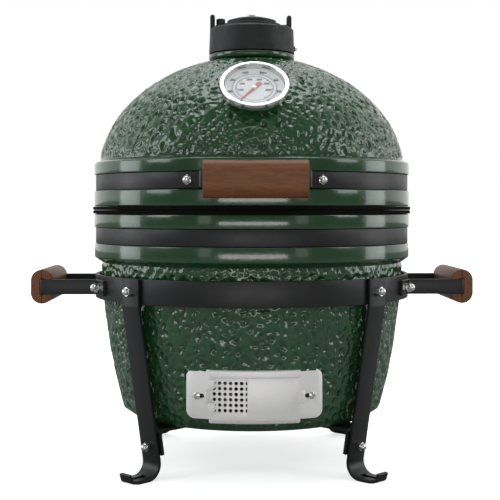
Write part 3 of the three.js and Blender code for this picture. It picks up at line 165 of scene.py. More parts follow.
DIAL_UP = 0.1273
DIAL_TILT = math.radians(44.5)
DIAL_PROUD = 0.019
BEZEL_R = 0.040
BEZEL_H = 0.008
CASE_R = 0.0373
CASE_DEPTH = 0.011
CASE_WALL = 0.002
DIAL_WINDOW_R = 0.0353
OUTER_SCALE_R = 0.0250
INNER_SCALE_R = 0.0218
PRINT_T = 0.00012
PRINT_LINE = 0.00016
NEEDLE_TIP = 0.0265
NEEDLE_TAIL = 0.0125
NEEDLE_ANGLE = math.radians(-36)
PROBE_R = 0.004
PROBE_L = 0.060

VENT_R = 0.0551
VENT_H = 0.0333
VENT_HOLE_R = 0.031
VENT_PLATE_T = 0.0054
VENT_EAR_X = 0.0506
EAR_T = 0.0062
DISC_R = 0.038
DISC_T = 0.005
DISC_ARM_W = 0.012
PIVOT_X = 0.040
PETALS = 5
PETAL_R = 0.006
PETAL_AT = 0.018


def low_high(node):
    """Lowest and highest z of a node."""
    low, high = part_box(node)
    return low.z, high.z


def reach(node):
    """Radius of a turned node that stands on the Z axis."""
    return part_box(node)[1].x


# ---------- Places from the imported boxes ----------

SHELL_R = reach("dome_shell")
BOWL_Z, RIM_Z = low_high("base_bowl")
LID_Z = low_high("dome_shell")[0]
DOME_CENTRE_Z = LID_Z + DOME_CENTRE_UP
NECK_Z = LID_Z + NECK_UP
FIRE_BOX_Z = low_high("fire_box")[0]
BOWL_INSIDE_Z = FIRE_BOX_Z - GAP
BAND_R = reach("base_band")
RING_LOW, RING_TOP = low_high("stand_ring")
RING_Z = (RING_LOW + RING_TOP) / 2
STAND_R = reach("stand_ring")
PAD_R = STAND_R + GAP
LEG_TOP_R = PAD_R + STRAP_T / 2
SCREEN_R = FRAME_R + SHEET_T + GAP
DOOR_R = SCREEN_R + SLIDER_T + GAP
LIP_R = DOOR_R + SLIDER_T + GAP


def bowl_radius(z):
    return BODY_R * math.sqrt(1 - ((BODY_WIDEST_Z - z) / BODY_RISE) ** 2)


def dome_radius(z):
    return DOME_R * math.sqrt(1 - ((z - DOME_CENTRE_Z) / DOME_RISE) ** 2)


def leg_middle(z):
    return LEG_TOP_R - (LEG_KNEE_Z - z) * math.tan(LEG_LEAN)


# ---------- Node helpers for materials ----------


class Look:
    """A material being built: one Principled shader and the nodes that feed it."""

    def __init__(self, name, **sockets):
        self.material = bpy.data.materials.new(name)
        self.material.use_nodes = True
        self.tree = self.material.node_tree
        self.shader = self.tree.nodes["Principled BSDF"]
        self.place = self.node("ShaderNodeTexCoord").outputs["Object"]
        for socket, value in sockets.items():
            self.shader.inputs[socket.replace("_", " ")].default_value = value

    def node(self, kind, **values):
        made = self.tree.nodes.new(kind)
        for key, value in values.items():
            setattr(made, key, value)
        return made

    def feed(self, socket, value):
        if hasattr(value, "links"):
            self.tree.links.new(value, socket)
        else:
            socket.default_value = value

    def stretched(self, scale):
        """The object's coordinates, scaled along each axis."""
        made = self.node("ShaderNodeMapping")
        self.feed(made.inputs["Vector"], self.place)
        made.inputs["Scale"].default_value = scale
        return made.outputs["Vector"]

    def noise(self, scale, detail=4.0, roughness=0.55, vector=None, distortion=0.0):
        made = self.node("ShaderNodeTexNoise")
        self.feed(made.inputs["Vector"], vector or self.place)
        made.inputs["Scale"].default_value = scale
        made.inputs["Detail"].default_value = detail
        made.inputs["Roughness"].default_value = roughness
        made.inputs["Distortion"].default_value = distortion
        return made.outputs["Fac"]

    def attribute(self, name):
        return self.node("ShaderNodeAttribute", attribute_name=name).outputs["Fac"]

    def ramp(self, factor, *stops):
        """Colours, or greys, at places from 0 to 1."""
        made = self.node("ShaderNodeValToRGB")
        self.feed(made.inputs["Fac"], factor)
        while len(made.color_ramp.elements) < len(stops):
            made.color_ramp.elements.new(0.5)
        for element, (place, colour) in zip(made.color_ramp.elements, stops):
            element.position = place
            element.color = (*colour, 1) if hasattr(colour, "__len__") else (colour,) * 3 + (1,)
        return made.outputs["Color"]

    def mix(self, factor, a, b, blend="MIX"):
        made = self.node("ShaderNodeMix", data_type="RGBA", blend_type=blend)
        for socket, value in zip((made.inputs[0], made.inputs[6], made.inputs[7]), (factor, a, b)):
            if isinstance(value, tuple) and len(value) == 3:
                value = (*value, 1)
            self.feed(socket, value)
        return made.outputs[2]

    def math(self, operation, a, b=0.0):
        made = self.node("ShaderNodeMath", operation=operation)
        self.feed(made.inputs[0], a)
        self.feed(made.inputs[1], b)
        return made.outputs[0]

    def bump(self, height, strength, distance):
        made = self.node("ShaderNodeBump")
        self.feed(made.inputs["Height"], height)
        made.inputs["Strength"].default_value = strength
        made.inputs["Distance"].default_value = distance
        self.feed(self.shader.inputs["Normal"], made.outputs["Normal"])

    def set(self, **sockets):
        for socket, value in sockets.items():
            self.feed(self.shader.inputs[socket.replace("_", " ")], value)
        return self


# ---------- Materials ----------


def glaze_look(name, relief):
    """Thick glossy green glaze. On the hammered part it pools darker in the dimples."""
    look = Look(name, Coat_Weight=0.5, Coat_Roughness=0.06, IOR=1.5)
    patches = look.noise(9, 5, 0.6)
    flecks = look.noise(420, 3, 0.7)
    deep = look.ramp(patches, (0.3, (0.004, 0.022, 0.006)), (0.7, (0.008, 0.036, 0.011)))
    thin = look.ramp(patches, (0.3, (0.016, 0.072, 0.022)), (0.7, (0.024, 0.094, 0.032)))
    height = look.attribute("relief") if relief else 0.45
    colour = look.mix(height, deep, thin)
    colour = look.mix(look.ramp(flecks, (0.55, 0.0), (0.75, 0.35)), colour, (0.026, 0.062, 0.032))
    look.set(Base_Color=colour, Roughness=look.ramp(look.noise(60, 3), (0.3, 0.12), (0.7, 0.20)))
    look.bump(look.noise(260, 3, 0.6), 0.25 if relief else 0.12, 0.0004)
    return look.material


def clay_look():
    """Unglazed firebrick, with grog specks and smoke marks."""
    look = Look("refractory", Roughness=0.9)
    tone = look.ramp(
        look.noise(14, 6, 0.65),
        (0.25, (0.30, 0.22, 0.15)),
        (0.55, (0.50, 0.39, 0.27)),
        (0.8, (0.60, 0.48, 0.35)),
    )
    specks = look.ramp(look.noise(500, 2, 0.8), (0.62, 0.0), (0.7, 0.7))
    look.set(Base_Color=look.mix(specks, tone, (0.16, 0.11, 0.08)))
    look.bump(look.noise(180, 6, 0.7), 0.5, 0.001)
    return look.material


def felt_look():
    look = Look("felt", Roughness=1.0, Specular_IOR_Level=0.1)
    fibres = look.noise(900, 5, 0.8, vector=look.stretched((1, 1, 2.5)), distortion=1.5)
    look.set(Base_Color=look.ramp(fibres, (0.3, (0.0015, 0.0012, 0.0012)), (0.75, (0.012, 0.009, 0.008))))
    look.bump(fibres, 0.9, 0.0012)
    return look.material


def powder_look():
    """Satin black powder coat with its fine pebble."""
    look = Look("black_powder_coat", IOR=1.45)
    grain = look.noise(1100, 2, 0.5)
    dark, light = (0.0050, 0.0050, 0.0052), (0.0085, 0.0085, 0.0090)
    look.set(
        Base_Color=look.ramp(look.noise(12, 4), (0.3, dark), (0.7, light)),
        Roughness=look.ramp(look.noise(40, 3), (0.3, 0.34), (0.7, 0.44)),
    )
    look.bump(grain, 0.12, 0.0003)
    return look.material


def cast_look(name, dark, light, roughness):
    """A casting's grain under paint or seasoning."""
    look = Look(name, IOR=1.45)
    look.set(
        Base_Color=look.ramp(look.noise(30, 6, 0.7), (0.3, dark), (0.75, light)),
        Roughness=look.ramp(look.noise(90, 4), (0.3, roughness), (0.7, roughness + 0.14)),
    )
    look.bump(look.noise(700, 4, 0.75), 0.35, 0.0005)
    return look.material


def brushed_look(name, along, tone, roughness, metallic=1.0):
    """Steel with fine brush lines along one axis."""
    look = Look(name, Metallic=metallic)
    scale = [1.0 if axis == along else 30.0 for axis in range(3)]
    lines = look.noise(55, 5, 0.7, vector=look.stretched(scale))
    cloud = look.noise(25, 3)
    low = tuple(c * 0.86 for c in tone)
    look.set(
        Base_Color=look.mix(look.mix(0.5, lines, cloud), low, tone),
        Roughness=look.ramp(lines, (0.3, roughness - 0.05), (0.7, roughness + 0.07)),
    )
    look.bump(lines, 0.08, 0.0002)
    return look.material


def bright_look():
    """Polished steel with faint handling marks."""
    look = Look("bright_steel", Metallic=1.0)
    marks = look.noise(300, 4, 0.7)
    look.set(
        Base_Color=look.ramp(marks, (0.3, (0.70, 0.69, 0.67)), (0.7, (0.84, 0.83, 0.81))),
        Roughness=look.ramp(marks, (0.35, 0.10), (0.7, 0.22)),
    )
    look.bump(look.noise(60, 2), 0.05, 0.0004)
    return look.material


def wood_look(name, along):
    """Oiled reddish-brown hardwood with its grain along one axis."""
    look = Look(name, IOR=1.45)
    scale = [1.0 if axis == along else 9.0 for axis in range(3)]
    grain = look.noise(42, 8, 0.62, vector=look.stretched(scale), distortion=0.6)
    fine_scale = [1.0 if axis == along else 14.0 for axis in range(3)]
    pores = look.noise(160, 3, 0.6, vector=look.stretched(fine_scale))
    tone = look.ramp(
        grain,
        (0.25, (0.100, 0.029, 0.007)),
        (0.5, (0.180, 0.057, 0.014)),
        (0.75, (0.245, 0.088, 0.025)),
    )
    dark_pores = look.ramp(pores, (0.56, 0.0), (0.68, 0.55))
    look.set(
        Base_Color=look.mix(dark_pores, tone, (0.050, 0.018, 0.009)),
        Roughness=look.ramp(grain, (0.3, 0.42), (0.7, 0.54)),
    )
    look.bump(look.mix(0.5, grain, pores), 0.25, 0.0004)
    return look.material


def enamel_look(name, tone, roughness):
    look = Look(name)
    cloud = look.noise(80, 3)
    look.set(
        Base_Color=look.mix(cloud, tuple(c * 0.93 for c in tone), tone),
        Roughness=look.ramp(cloud, (0.3, roughness), (0.7, roughness + 0.08)),
    )
    return look.material


def lens_look():
    look = Look("lens", Base_Color=(0.9, 0.94, 0.95, 1), Alpha=0.10)
    look.set(Roughness=look.ramp(look.noise(40), (0.3, 0.02), (0.7, 0.05)))
    return look.material


HAMMERED = glaze_look("green_glaze_hammered", True)
LOOKS = {
    "green_glaze": glaze_look("green_glaze", False),
    "refractory": clay_look(),
    "felt": felt_look(),
    "black_powder_coat": powder_look(),
    "cast_iron": cast_look("cast_iron", (0.02, 0.019, 0.018), (0.055, 0.05, 0.046), 0.55),
    "cast_vent": cast_look("cast_vent", (0.006, 0.006, 0.0065), (0.011, 0.011, 0.0115), 0.44),
    "grate_steel": brushed_look("grate_steel", 1, (0.62, 0.60, 0.57), 0.3),
    "stainless_sheet": brushed_look("stainless_sheet", 0, (0.97, 0.955, 0.93), 0.46, 0.42),
    "bright_steel": bright_look(),
    "steel_rod": brushed_look("steel_rod", 0, (0.55, 0.54, 0.52), 0.3),
    "wood_grip": wood_look("wood_grip", 1),
    "dial_face": enamel_look("dial_face", (0.86, 0.87, 0.88), 0.5),
    "needle_red": enamel_look("needle_red", (0.55, 0.03, 0.03), 0.35),
    "lens": lens_look(),
}
WOOD_ACROSS = wood_look("wood_grip_lid", 0)
PRINT = enamel_look("dial_print", (0.03, 0.03, 0.035), 0.5)
HUB = brushed_look("needle_hub", 0, (0.86, 0.80, 0.62), 0.25)
SLOT_OF = {row["node"]: row["material_slot"] for row in frame["record"]["subparts"]}

# ---------- Mesh helpers ----------


def rounded(points, radius=0.0, steps=4, closed=True):
    """Replaces the corners of an outline by arcs. A point's third number is that corner's own radius."""
    path = []
    count = len(points)
    for i, point in enumerate(points):
        corner = Vector(point[:2])
        r = point[2] if len(point) > 2 else radius
        if r <= 0 or (not closed and i in (0, count - 1)):
            path.append(corner)
            continue
        back = Vector(points[i - 1][:2]) - corner
        ahead = Vector(points[(i + 1) % count][:2]) - corner
        half = back.angle(ahead) / 2
        if half > math.radians(89.5):
            path.append(corner)
            continue
        run = min(r / math.tan(half), 0.49 * back.length, 0.49 * ahead.length)
        r = run * math.tan(half)
        back.normalize()
        ahead.normalize()
        centre = corner + (back + ahead).normalized() * (r / math.sin(half))
        start = corner + back * run - centre
        sweep = (corner + ahead * run - centre).angle_signed(start)
        for k in range(steps + 1):
            turn = Matrix.Rotation(sweep * k / steps, 2)
            path.append(centre + turn @ start)
    return path


def spread(a, b, count):
    return [a + (b - a) * i / (count - 1) for i in range(count)]


def mesh_of(points, faces):
    mesh = bpy.data.meshes.new("made")
    mesh.from_pydata(points, [], faces)
    return tidied(mesh)


def tidied(mesh):
    """Merged where points meet, with every face pointing out."""
    bm = bmesh.new()
    bm.from_mesh(mesh)
    bmesh.ops.remove_doubles(bm, verts=bm.verts, dist=1e-7)
    bmesh.ops.dissolve_degenerate(bm, edges=bm.edges, dist=1e-7)
    bmesh.ops.recalc_face_normals(bm, faces=bm.faces)
    bm.to_mesh(mesh)
    bm.free()
    return mesh


def turned(profile, steps=TURN):
    """A closed outline of (radius, height) turned round the Z axis."""
    points = []
    for k in range(steps):
        angle = 2 * math.pi * k / steps
        c, s = math.cos(angle), math.sin(angle)
        points += [(r * c, r * s, z) for r, z in profile]
    n = len(profile)
    faces = []
    for k in range(steps):
        for i in range(n):
            a, b = k * n + i, k * n + (i + 1) % n
            c, d = ((k + 1) % steps) * n + (i + 1) % n, ((k + 1) % steps) * n + i
            if profile[i][0] > 0 or profile[(i + 1) % n][0] > 0:
                faces.append((a, b, c, d))
    return mesh_of(points, faces)


def prism(outline, low, high, edge=0.0, edge_steps=2):
    """An outline in X and Y made thick along Z, its top and bottom edges rounded."""
    bm = bmesh.new()
    face = bm.faces.new([bm.verts.new((x, y, low)) for x, y in outline])
    top = bmesh.ops.extrude_face_region(bm, geom=[face])
    moved = [v for v in top["geom"] if isinstance(v, bmesh.types.BMVert)]
    bmesh.ops.translate(bm, verts=moved, vec=(0, 0, high - low))
    bmesh.ops.recalc_face_normals(bm, faces=bm.faces)
    if edge:
        rims = [e for e in bm.edges if abs(e.verts[0].co.z - e.verts[1].co.z) < 1e-9]
        bmesh.ops.bevel(bm, geom=rims, offset=edge, segments=edge_steps, affect="EDGES", profile=0.5)
    mesh = bpy.data.meshes.new("made")
    bm.to_mesh(mesh)
    bm.free()
    return mesh


def circle(radius, x=0.0, y=0.0, steps=24):
    return [
        (x + radius * math.cos(2 * math.pi * k / steps), y + radius * math.sin(2 * math.pi * k / steps))
        for k in range(steps)
    ]


def stadium(span, radius, steps=12):
    """Two half circles whose centres are span apart along X."""
    right = [(-math.pi / 2 + math.pi * k / steps, span / 2) for k in range(steps + 1)]
    left = [(math.pi / 2 + math.pi * k / steps, -span / 2) for k in range(steps + 1)]
    return [(x + radius * math.cos(a), radius * math.sin(a)) for a, x in right + left]


def swept(path, width, thickness, edge=STEEL_EDGE):
    """A flat bar: a rounded rectangle carried along a path in X and Y, its width along Z."""
    corners = [
        (-thickness / 2, -width / 2),
        (thickness / 2, -width / 2),
        (thickness / 2, width / 2),
        (-thickness / 2, width / 2),
    ]
    section = rounded(corners, edge, 3)
    points = []
    for i, here in enumerate(path):
        before = path[max(i - 1, 0)]
        after = path[min(i + 1, len(path) - 1)]
        into = (here - before).normalized() if i else (after - here).normalized()
        out = (after - here).normalized() if i < len(path) - 1 else into
        mid = (into + out).normalized()
        side = Vector((-mid.y, mid.x)) / max(mid.dot(out), 0.3)
        for u, v in section:
            points.append((here.x + side.x * u, here.y + side.y * u, v))
    n = len(section)
    faces = []
    for i in range(len(path) - 1):
        for k in range(n):
            a, b = i * n + k, i * n + (k + 1) % n
            faces.append((a, b, b + n, a + n))
    faces.append(tuple(range(n)))
    faces.append(tuple((len(path) - 1) * n + k for k in range(n)))
    return mesh_of(points, faces)


def tube(path, radius, sides=12, closed=False):
    """Round wire along a list of points."""
    curve = bpy.data.curves.new("wire", "CURVE")
    curve.dimensions = "3D"
    curve.bevel_depth = radius
    curve.bevel_resolution = sides // 4
    curve.use_fill_caps = True
    line = curve.splines.new("POLY")
    line.points.add(len(path) - 1)
    line.use_cyclic_u = closed
    for spot, place in zip(line.points, path):
        spot.co = (*place, 1)
    obj = bpy.data.objects.new("wire", curve)
    SCENE.collection.objects.link(obj)
    mesh = evaluated(obj)
    bpy.data.objects.remove(obj)
    return tidied(mesh)


def moved(mesh, matrix):
    mesh.transform(matrix)
    return mesh


def joined(*meshes):
    """Several meshes as one, each still its own closed body."""
    bm = bmesh.new()
    for mesh in meshes:
        bm.from_mesh(mesh)
    made = bpy.data.meshes.new("made")
    bm.to_mesh(made)
    bm.free()
    return made


def evaluated(obj):
    bpy.context.view_layer.update()
    shown = obj.evaluated_get(bpy.context.evaluated_depsgraph_get())
    return bpy.data.meshes.new_from_object(shown)


def combined(mesh, other, operation):
    body = bpy.data.objects.new("body", mesh)
    tool = bpy.data.objects.new("tool", other)
    for obj in (body, tool):
        SCENE.collection.objects.link(obj)
    boolean = body.modifiers.new("combine", "BOOLEAN")
    boolean.operation = operation
    boolean.solver = "MANIFOLD"
    boolean.object = tool
    made = evaluated(body)
    for obj in (body, tool):
        bpy.data.objects.remove(obj)
    return made


def carved(mesh, *cutters):
    for cutter in cutters:
        mesh = combined(mesh, cutter, "DIFFERENCE")
    return mesh


def fused(mesh, *others):
    for other in others:
        mesh = combined(mesh, other, "UNION")
    return mesh


def softened(mesh, width, angle=30, steps=2):
    """Rounds every edge that is sharper than the angle."""
    obj = bpy.data.objects.new("body", mesh)
    SCENE.collection.objects.link(obj)
    bevel = obj.modifiers.new("edges", "BEVEL")
    bevel.width = width
    bevel.segments = steps
    bevel.limit_method = "ANGLE"
    bevel.angle_limit = math.radians(angle)
    bevel.harden_normals = False
    made = evaluated(obj)
    bpy.data.objects.remove(obj)
    return made


def smooth(mesh, angle=32):
    mesh.polygons.foreach_set("use_smooth", [True] * len(mesh.polygons))
    mesh.set_sharp_from_angle(angle=math.radians(angle))


def piece(name, mesh, body, slot=None, look=None, angle=32):
    """Puts a finished mesh in the scene, riding on a body."""
    mesh.name = name
    mesh.materials.clear()
    for material in look or [LOOKS[slot]]:
        mesh.materials.append(material)
    smooth(mesh, angle)
    obj = bpy.data.objects.new(name, mesh)
    SCENE.collection.objects.link(obj)
    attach(obj, body)
    return obj


def stands_for(node, mesh, look=None, angle=32):
    """A finer piece in place of one CAD node, on the same body and in the same material slot."""
    made = piece(node + "_fine", mesh, frame["nodes"][node]["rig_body"], SLOT_OF[node], look, angle)
    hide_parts(node)
    return made


def about_z(azimuth):
    """Turns what was built facing +X to an azimuth."""
    return Matrix.Rotation(math.radians(azimuth - 90), 4, "Z")


def along_x():
    """Lays what was built along +Z along +X."""
    return Matrix.Rotation(math.pi / 2, 4, "Y")


def upright():
    """Stands what was drawn as (radius, height) in X and Y up in X and Z."""
    return Matrix.Rotation(math.pi / 2, 4, "X")


# ---------- Hammered ceramic ----------


def relief_at(place):
    """Height of the hammered glaze, 0 at the bottom of a dimple and 1 on a ridge."""
    spot = place / DIMPLE
    wander = noise.noise_vector(spot * 0.55) * 0.55 + noise.noise_vector(spot * 1.7) * 0.16
    near = noise.voronoi(spot + wander)[0]
    ridge = (near[0] / near[1]) ** 1.15
    swell = 0.5 + 0.5 * noise.noise(spot * 0.45 + Vector((7, 3, 5)))
    fine = 0.5 + 0.5 * noise.noise(spot * 2.3)
    return min(1.0, ridge * (0.62 + 0.5 * swell) + 0.16 * fine)


def hammer(mesh, low, high, inner_radius):
    """Presses the dimples into the outside of a turned shell between two heights."""
    relief = mesh.attributes.new("relief", "FLOAT", "POINT")
    normals = [v.vector.copy() for v in mesh.vertex_normals]
    for i, vertex in enumerate(mesh.vertices):
        place = vertex.co
        edge = min(place.z - low, high - place.z)
        outside = math.hypot(place.x, place.y) > inner_radius(place.z)
        share = min(1.0, max(0.0, edge / RELIEF_FADE)) if outside else 0.0
        share = share * share * (3 - 2 * share)
        height = relief_at(place) if share else 0.5
        relief.data[i].value = 0.45 + (height - 0.45) * share
        vertex.co = place + normals[i] * (DIMPLE_DEPTH * (height - 0.5) * share)
    return mesh


def rows(curve, start, end):
    """Points of a curve from start to end of its parameter, one row apart."""
    coarse = [Vector(curve(t)) for t in spread(start, end, 80)]
    length = sum((b - a).length for a, b in zip(coarse, coarse[1:]))
    return [tuple(curve(t)) for t in spread(start, end, max(4, round(length / RELIEF_ROW)))]


def sector(r_in, r_out, half, low, high):
    """Part of a ring about the front, for cutting."""
    angles = [math.radians(a - 90) for a in spread(-half, half, 2 * int(half) + 1)]
    outer = [(r_out * math.cos(a), r_out * math.sin(a)) for a in angles]
    inner = [(r_in * math.cos(a), r_in * math.sin(a)) for a in reversed(angles)]
    return prism(outer + inner, low, high)


def two_sided(mesh, is_inside):
    """Gives the faces inside a shell the second material."""
    for polygon in mesh.polygons:
        polygon.material_index = 1 if is_inside(polygon.center) else 0


def make_bowl():
    band_low, band_high = low_high("base_band")
    groove = SHELL_R - GROOVE_DEPTH
    fillet_top = BOWL_Z + FOOT_FILLET
    body = rows(lambda z: (bowl_radius(z), z), fillet_top, COLLAR_Z - 0.0005)
    foot = rounded(
        [(0.0, BOWL_Z), (FOOT_R, BOWL_Z, 0.008), (bowl_radius(fillet_top), fillet_top)],
        closed=False,
        steps=6,
    )
    collar = rounded(
        [
            body[-1],
            (bowl_radius(COLLAR_Z) + 0.001, COLLAR_Z, 0.002),
            (SHELL_R - GAP, COLLAR_Z + COLLAR_DROP, 0.003),
            (SHELL_R - GAP, band_low - GAP, 0.0012),
            (groove, band_low - GAP, 0.0006),
            (groove, band_high + GAP, 0.0006),
            (SHELL_R, band_high + GAP, 0.0012),
            (SHELL_R, RIM_Z, 0.0018),
            (BODY_R - BOWL_WALL, RIM_Z, 0.0025),
            (bowl_radius(BODY_WIDEST_Z) - BOWL_WALL, BODY_WIDEST_Z),
        ],
        closed=False,
    )
    inside = [(bowl_radius(z) - BOWL_WALL, z) for z in spread(0.275, BOWL_INSIDE_Z + BOWL_WALL, 10)]
    floor = [(bowl_radius(BOWL_INSIDE_Z) - 1.5 * BOWL_WALL, BOWL_INSIDE_Z), (0.0, BOWL_INSIDE_Z)]
    profile = [*foot[:-1], *body[:-1], *collar, *inside, *floor]
    shell = turned(profile, RELIEF_STEPS)
    hammer(shell, BOWL_Z + RELIEF_FADE, COLLAR_Z - 0.0005, lambda z: bowl_radius(z) - 0.004)
    draft_r = FRAME_R - GAP
    outside = SHELL_R + 0.01
    pad_low = DRAFT_Z - DRAFT_PAD_H / 2
    seat_top = low_high("draft_frame")[0] + FRAME_H + FRAME_UP
    pad = sector(draft_r - BOWL_WALL, draft_r, DRAFT_PAD_HALF, pad_low, DRAFT_Z + DRAFT_PAD_H / 2)
    seat = sector(draft_r, outside, FRAME_HALF + 0.5, pad_low, seat_top)
    opening_top = DRAFT_Z + DRAFT_OPENING_H / 2
    opening = sector(0.106, outside, DRAFT_OPENING_HALF, BOWL_INSIDE_Z, opening_top)
    shell = carved(fused(shell, pad), seat, opening)
    bowl = stands_for("base_bowl", shell, [HAMMERED, LOOKS["refractory"]], 50)
    two_sided(bowl.data, is_inside_bowl)


def is_inside_bowl(centre):
    r = math.hypot(centre.x, centre.y)
    return r < bowl_radius(centre.z) - 0.6 * BOWL_WALL and centre.z > BOWL_Z + BOWL_WALL / 2


def make_dome():
    band_low, band_high = low_high("dome_band")
    groove = SHELL_R - GROOVE_DEPTH
    collar_top = LID_Z + LID_COLLAR_H
    textured_from = collar_top + 0.004
    neck_foot = NECK_Z - NECK_FILLET

    def outline(a):
        return (DOME_R * math.cos(a), DOME_CENTRE_Z + DOME_RISE * math.sin(a))

    def inner(a):
        return (
            (DOME_R - DOME_WALL) * math.cos(a),
            DOME_CENTRE_Z + (DOME_RISE - DOME_WALL) * math.sin(a),
        )

    start = math.asin((textured_from - DOME_CENTRE_Z) / DOME_RISE)
    end = math.asin((neck_foot - DOME_CENTRE_Z) / DOME_RISE)
    body = rows(outline, start, end)
    foot = rounded(
        [
            (DOME_R - DOME_WALL, LID_Z, 0.0025),
            (SHELL_R, LID_Z, 0.0018),
            (SHELL_R, band_low - GAP, 0.0012),
            (groove, band_low - GAP, 0.0006),
            (groove, band_high + GAP, 0.0006),
            (SHELL_R, band_high + GAP, 0.0012),
            (SHELL_R, collar_top, 0.0022),
            (body[0][0] + 0.0022, collar_top + 0.0032, 0.0015),
            body[0],
        ],
        closed=False,
    )
    spigot_top = NECK_Z + SPIGOT_H
    neck = rounded(
        [
            body[-1],
            (NECK_R, neck_foot + 0.0015, 0.006),
            (NECK_R, NECK_Z, 0.0012),
            (SPIGOT_R, NECK_Z, 0.0005),
            (SPIGOT_R, spigot_top, 0.0015),
            (THROAT_R, spigot_top, 0.0015),
            (THROAT_R, NECK_Z - 0.016),
        ],
        closed=False,
    )
    top_angle = math.acos(THROAT_R / (DOME_R - DOME_WALL))
    inside = [inner(a) for a in spread(top_angle, 0.0, 24)]
    profile = [*foot[:-1], *body[:-1], *neck[:-1], *inside]
    shell = turned(profile, RELIEF_STEPS)
    hammer(
        shell, textured_from, neck_foot + 0.0005, lambda z: dome_radius(min(z, neck_foot)) - 0.004
    )
    shell = carved(shell, moved(prism(circle(PROBE_R + GAP), -0.05, 0.05), DIAL))
    dome = stands_for("dome_shell", shell, [HAMMERED, LOOKS["refractory"]], 50)
    two_sided(dome.data, is_inside_dome)


def is_inside_dome(centre):
    r = math.hypot(centre.x, centre.y)
    if centre.z > NECK_Z:
        return r < THROAT_R + 0.003
    wall = dome_radius(min(centre.z, NECK_Z - NECK_FILLET))
    return r < wall - 0.6 * DOME_WALL and r < SHELL_R - DOME_WALL


DIAL_Z = LID_Z + DIAL_UP
DIAL = Matrix.Translation((0, -dome_radius(DIAL_Z), DIAL_Z)) @ Matrix.Rotation(
    math.pi / 2 - DIAL_TILT, 4, "X"
)

make_bowl()
make_dome()

# ---------- Gaskets, bands and the stand's ring ----------


def turned_bar(node, thickness, edge):
    low, high = low_high(node)
    outer = reach(node)
    section = [(outer - thickness, low), (outer, low), (outer, high), (outer - thickness, high)]
    return turned(rounded(section, edge, 3), 2 * TURN)


def make_gasket(node):
    low, high = low_high(node)
    outer = reach(node)
    inner = BODY_R - BOWL_WALL + 0.002
    section = [(inner, low), (outer, low), (outer, high), (inner, high)]
    mesh = turned(rounded(section, 0.0016, 5), 2 * TURN)
    for vertex in mesh.vertices:
        r = math.hypot(vertex.co.x, vertex.co.y)
        if r > SHELL_R - 0.001:
            fuzz = 1 + 0.0035 * noise.noise(vertex.co * 220)
            vertex.co.x *= fuzz
            vertex.co.y *= fuzz
    stands_for(node, mesh)


make_gasket("base_gasket")
make_gasket("dome_gasket")
stands_for("base_band", turned_bar("base_band", BAND_T, 0.0008))
stands_for("dome_band", turned_bar("dome_band", BAND_T, 0.0008))
stands_for("stand_ring", turned_bar("stand_ring", STRAP_T, STEEL_EDGE))

# ---------- Fasteners ----------


def hexagon(flats, x=0.0):
    return circle(flats / math.sqrt(3), x, steps=6)


def acorn_nut(flats=NUT_FLATS, height=NUT_H, cap=NUT_CAP_H):
    """A hexagon with chamfered corners and a domed cap, standing on z = 0."""
    across = flats / math.sqrt(3)
    limit = rounded(
        [
            (0.0, -0.0001),
            (flats / 2 * 1.02, -0.0001),
            (across * 1.02, 0.0008),
            (across * 1.02, height - 0.0008),
            (flats / 2 * 1.02, height + 0.0001),
            (0.0, height + 0.0001),
        ],
        0.0003,
        2,
        closed=False,
    )
    body = combined(prism(hexagon(flats), 0, height), turned(limit, 48), "INTERSECT")
    r = 0.43 * flats
    spring = height + cap / 4  # the dome starts above a short straight wall
    dome = [
        (r * math.cos(a), spring + 0.75 * cap * math.sin(a)) for a in spread(0, math.pi / 2, 8)
    ]
    cap_mesh = turned([(0.0, height / 2), (r, height / 2), *dome[:-1], (0.0, height + cap)], 32)
    return fused(body, cap_mesh)


NUT = acorn_nut()


def bolt_and_nut(grip, headed=True):
    """Along +Z: the head's bearing face at 0 and the nut at grip."""
    head = [(HEAD_R, -HEAD_H, 0.0008), (HEAD_R, 0.0, 0.0002)] if headed else []
    foot = -HEAD_H if headed else 0.0
    top = grip + 0.002
    shank = [(0.0, foot), *head, (BOLT_R, 0.0), (BOLT_R, top), (0.0, top)]
    body = turned(rounded(shank, 0.0, 3, closed=False), 32)
    return joined(body, moved(NUT.copy(), Matrix.Translation((0, 0, grip))))


def place_bolt(node, azimuth, r, z, grip, lean=0.0, headed=True):
    place = about_z(azimuth) @ Matrix.Translation((r, 0, z)) @ Matrix.Rotation(lean, 4, "Y") @ along_x()
    stands_for(node, moved(bolt_and_nut(grip, headed), place), angle=28)


RING_HEAD_R = (STAND_R - STRAP_T) * math.cos(math.pi / 36) - GAP
RING_GRIP = PAD_R + STRAP_T + GAP - RING_HEAD_R
LOWER_GRIP = 2 * STRAP_T + 3 * GAP

for corner, azimuth in LEG_AZIMUTHS.items():
    place_bolt("ring_bolt_" + corner, azimuth, RING_HEAD_R, RING_Z, RING_GRIP)
    back = 1.5 * STRAP_T + 2 * GAP
    x = leg_middle(LOWER_BOLT_Z) - back * math.cos(LEG_LEAN)
    z = LOWER_BOLT_Z + back * math.sin(LEG_LEAN)
    place_bolt("cross_bolt_" + corner, azimuth, x, z, LOWER_GRIP, LEG_LEAN)

for side, facing in (("right", 90), ("left", -90)):
    for name, way in (("a", 1), ("b", -1)):
        azimuth = facing + way * (90 - SIDE_BOLT_AZ)
        place_bolt(f"{side}_handle_bolt_{name}", azimuth, RING_HEAD_R, RING_Z, RING_GRIP)

LID_BAND_Z = sum(low_high("dome_band")) / 2
for name, azimuth in (("left", -LID_BOLT_AZ), ("right", LID_BOLT_AZ)):
    place_bolt(
        "lid_handle_stud_" + name,
        azimuth,
        BAND_R - BAND_T + GAP,
        LID_BAND_Z,
        BAND_T + STRAP_T + GAP,
        headed=False,
    )

# ---------- Legs ----------


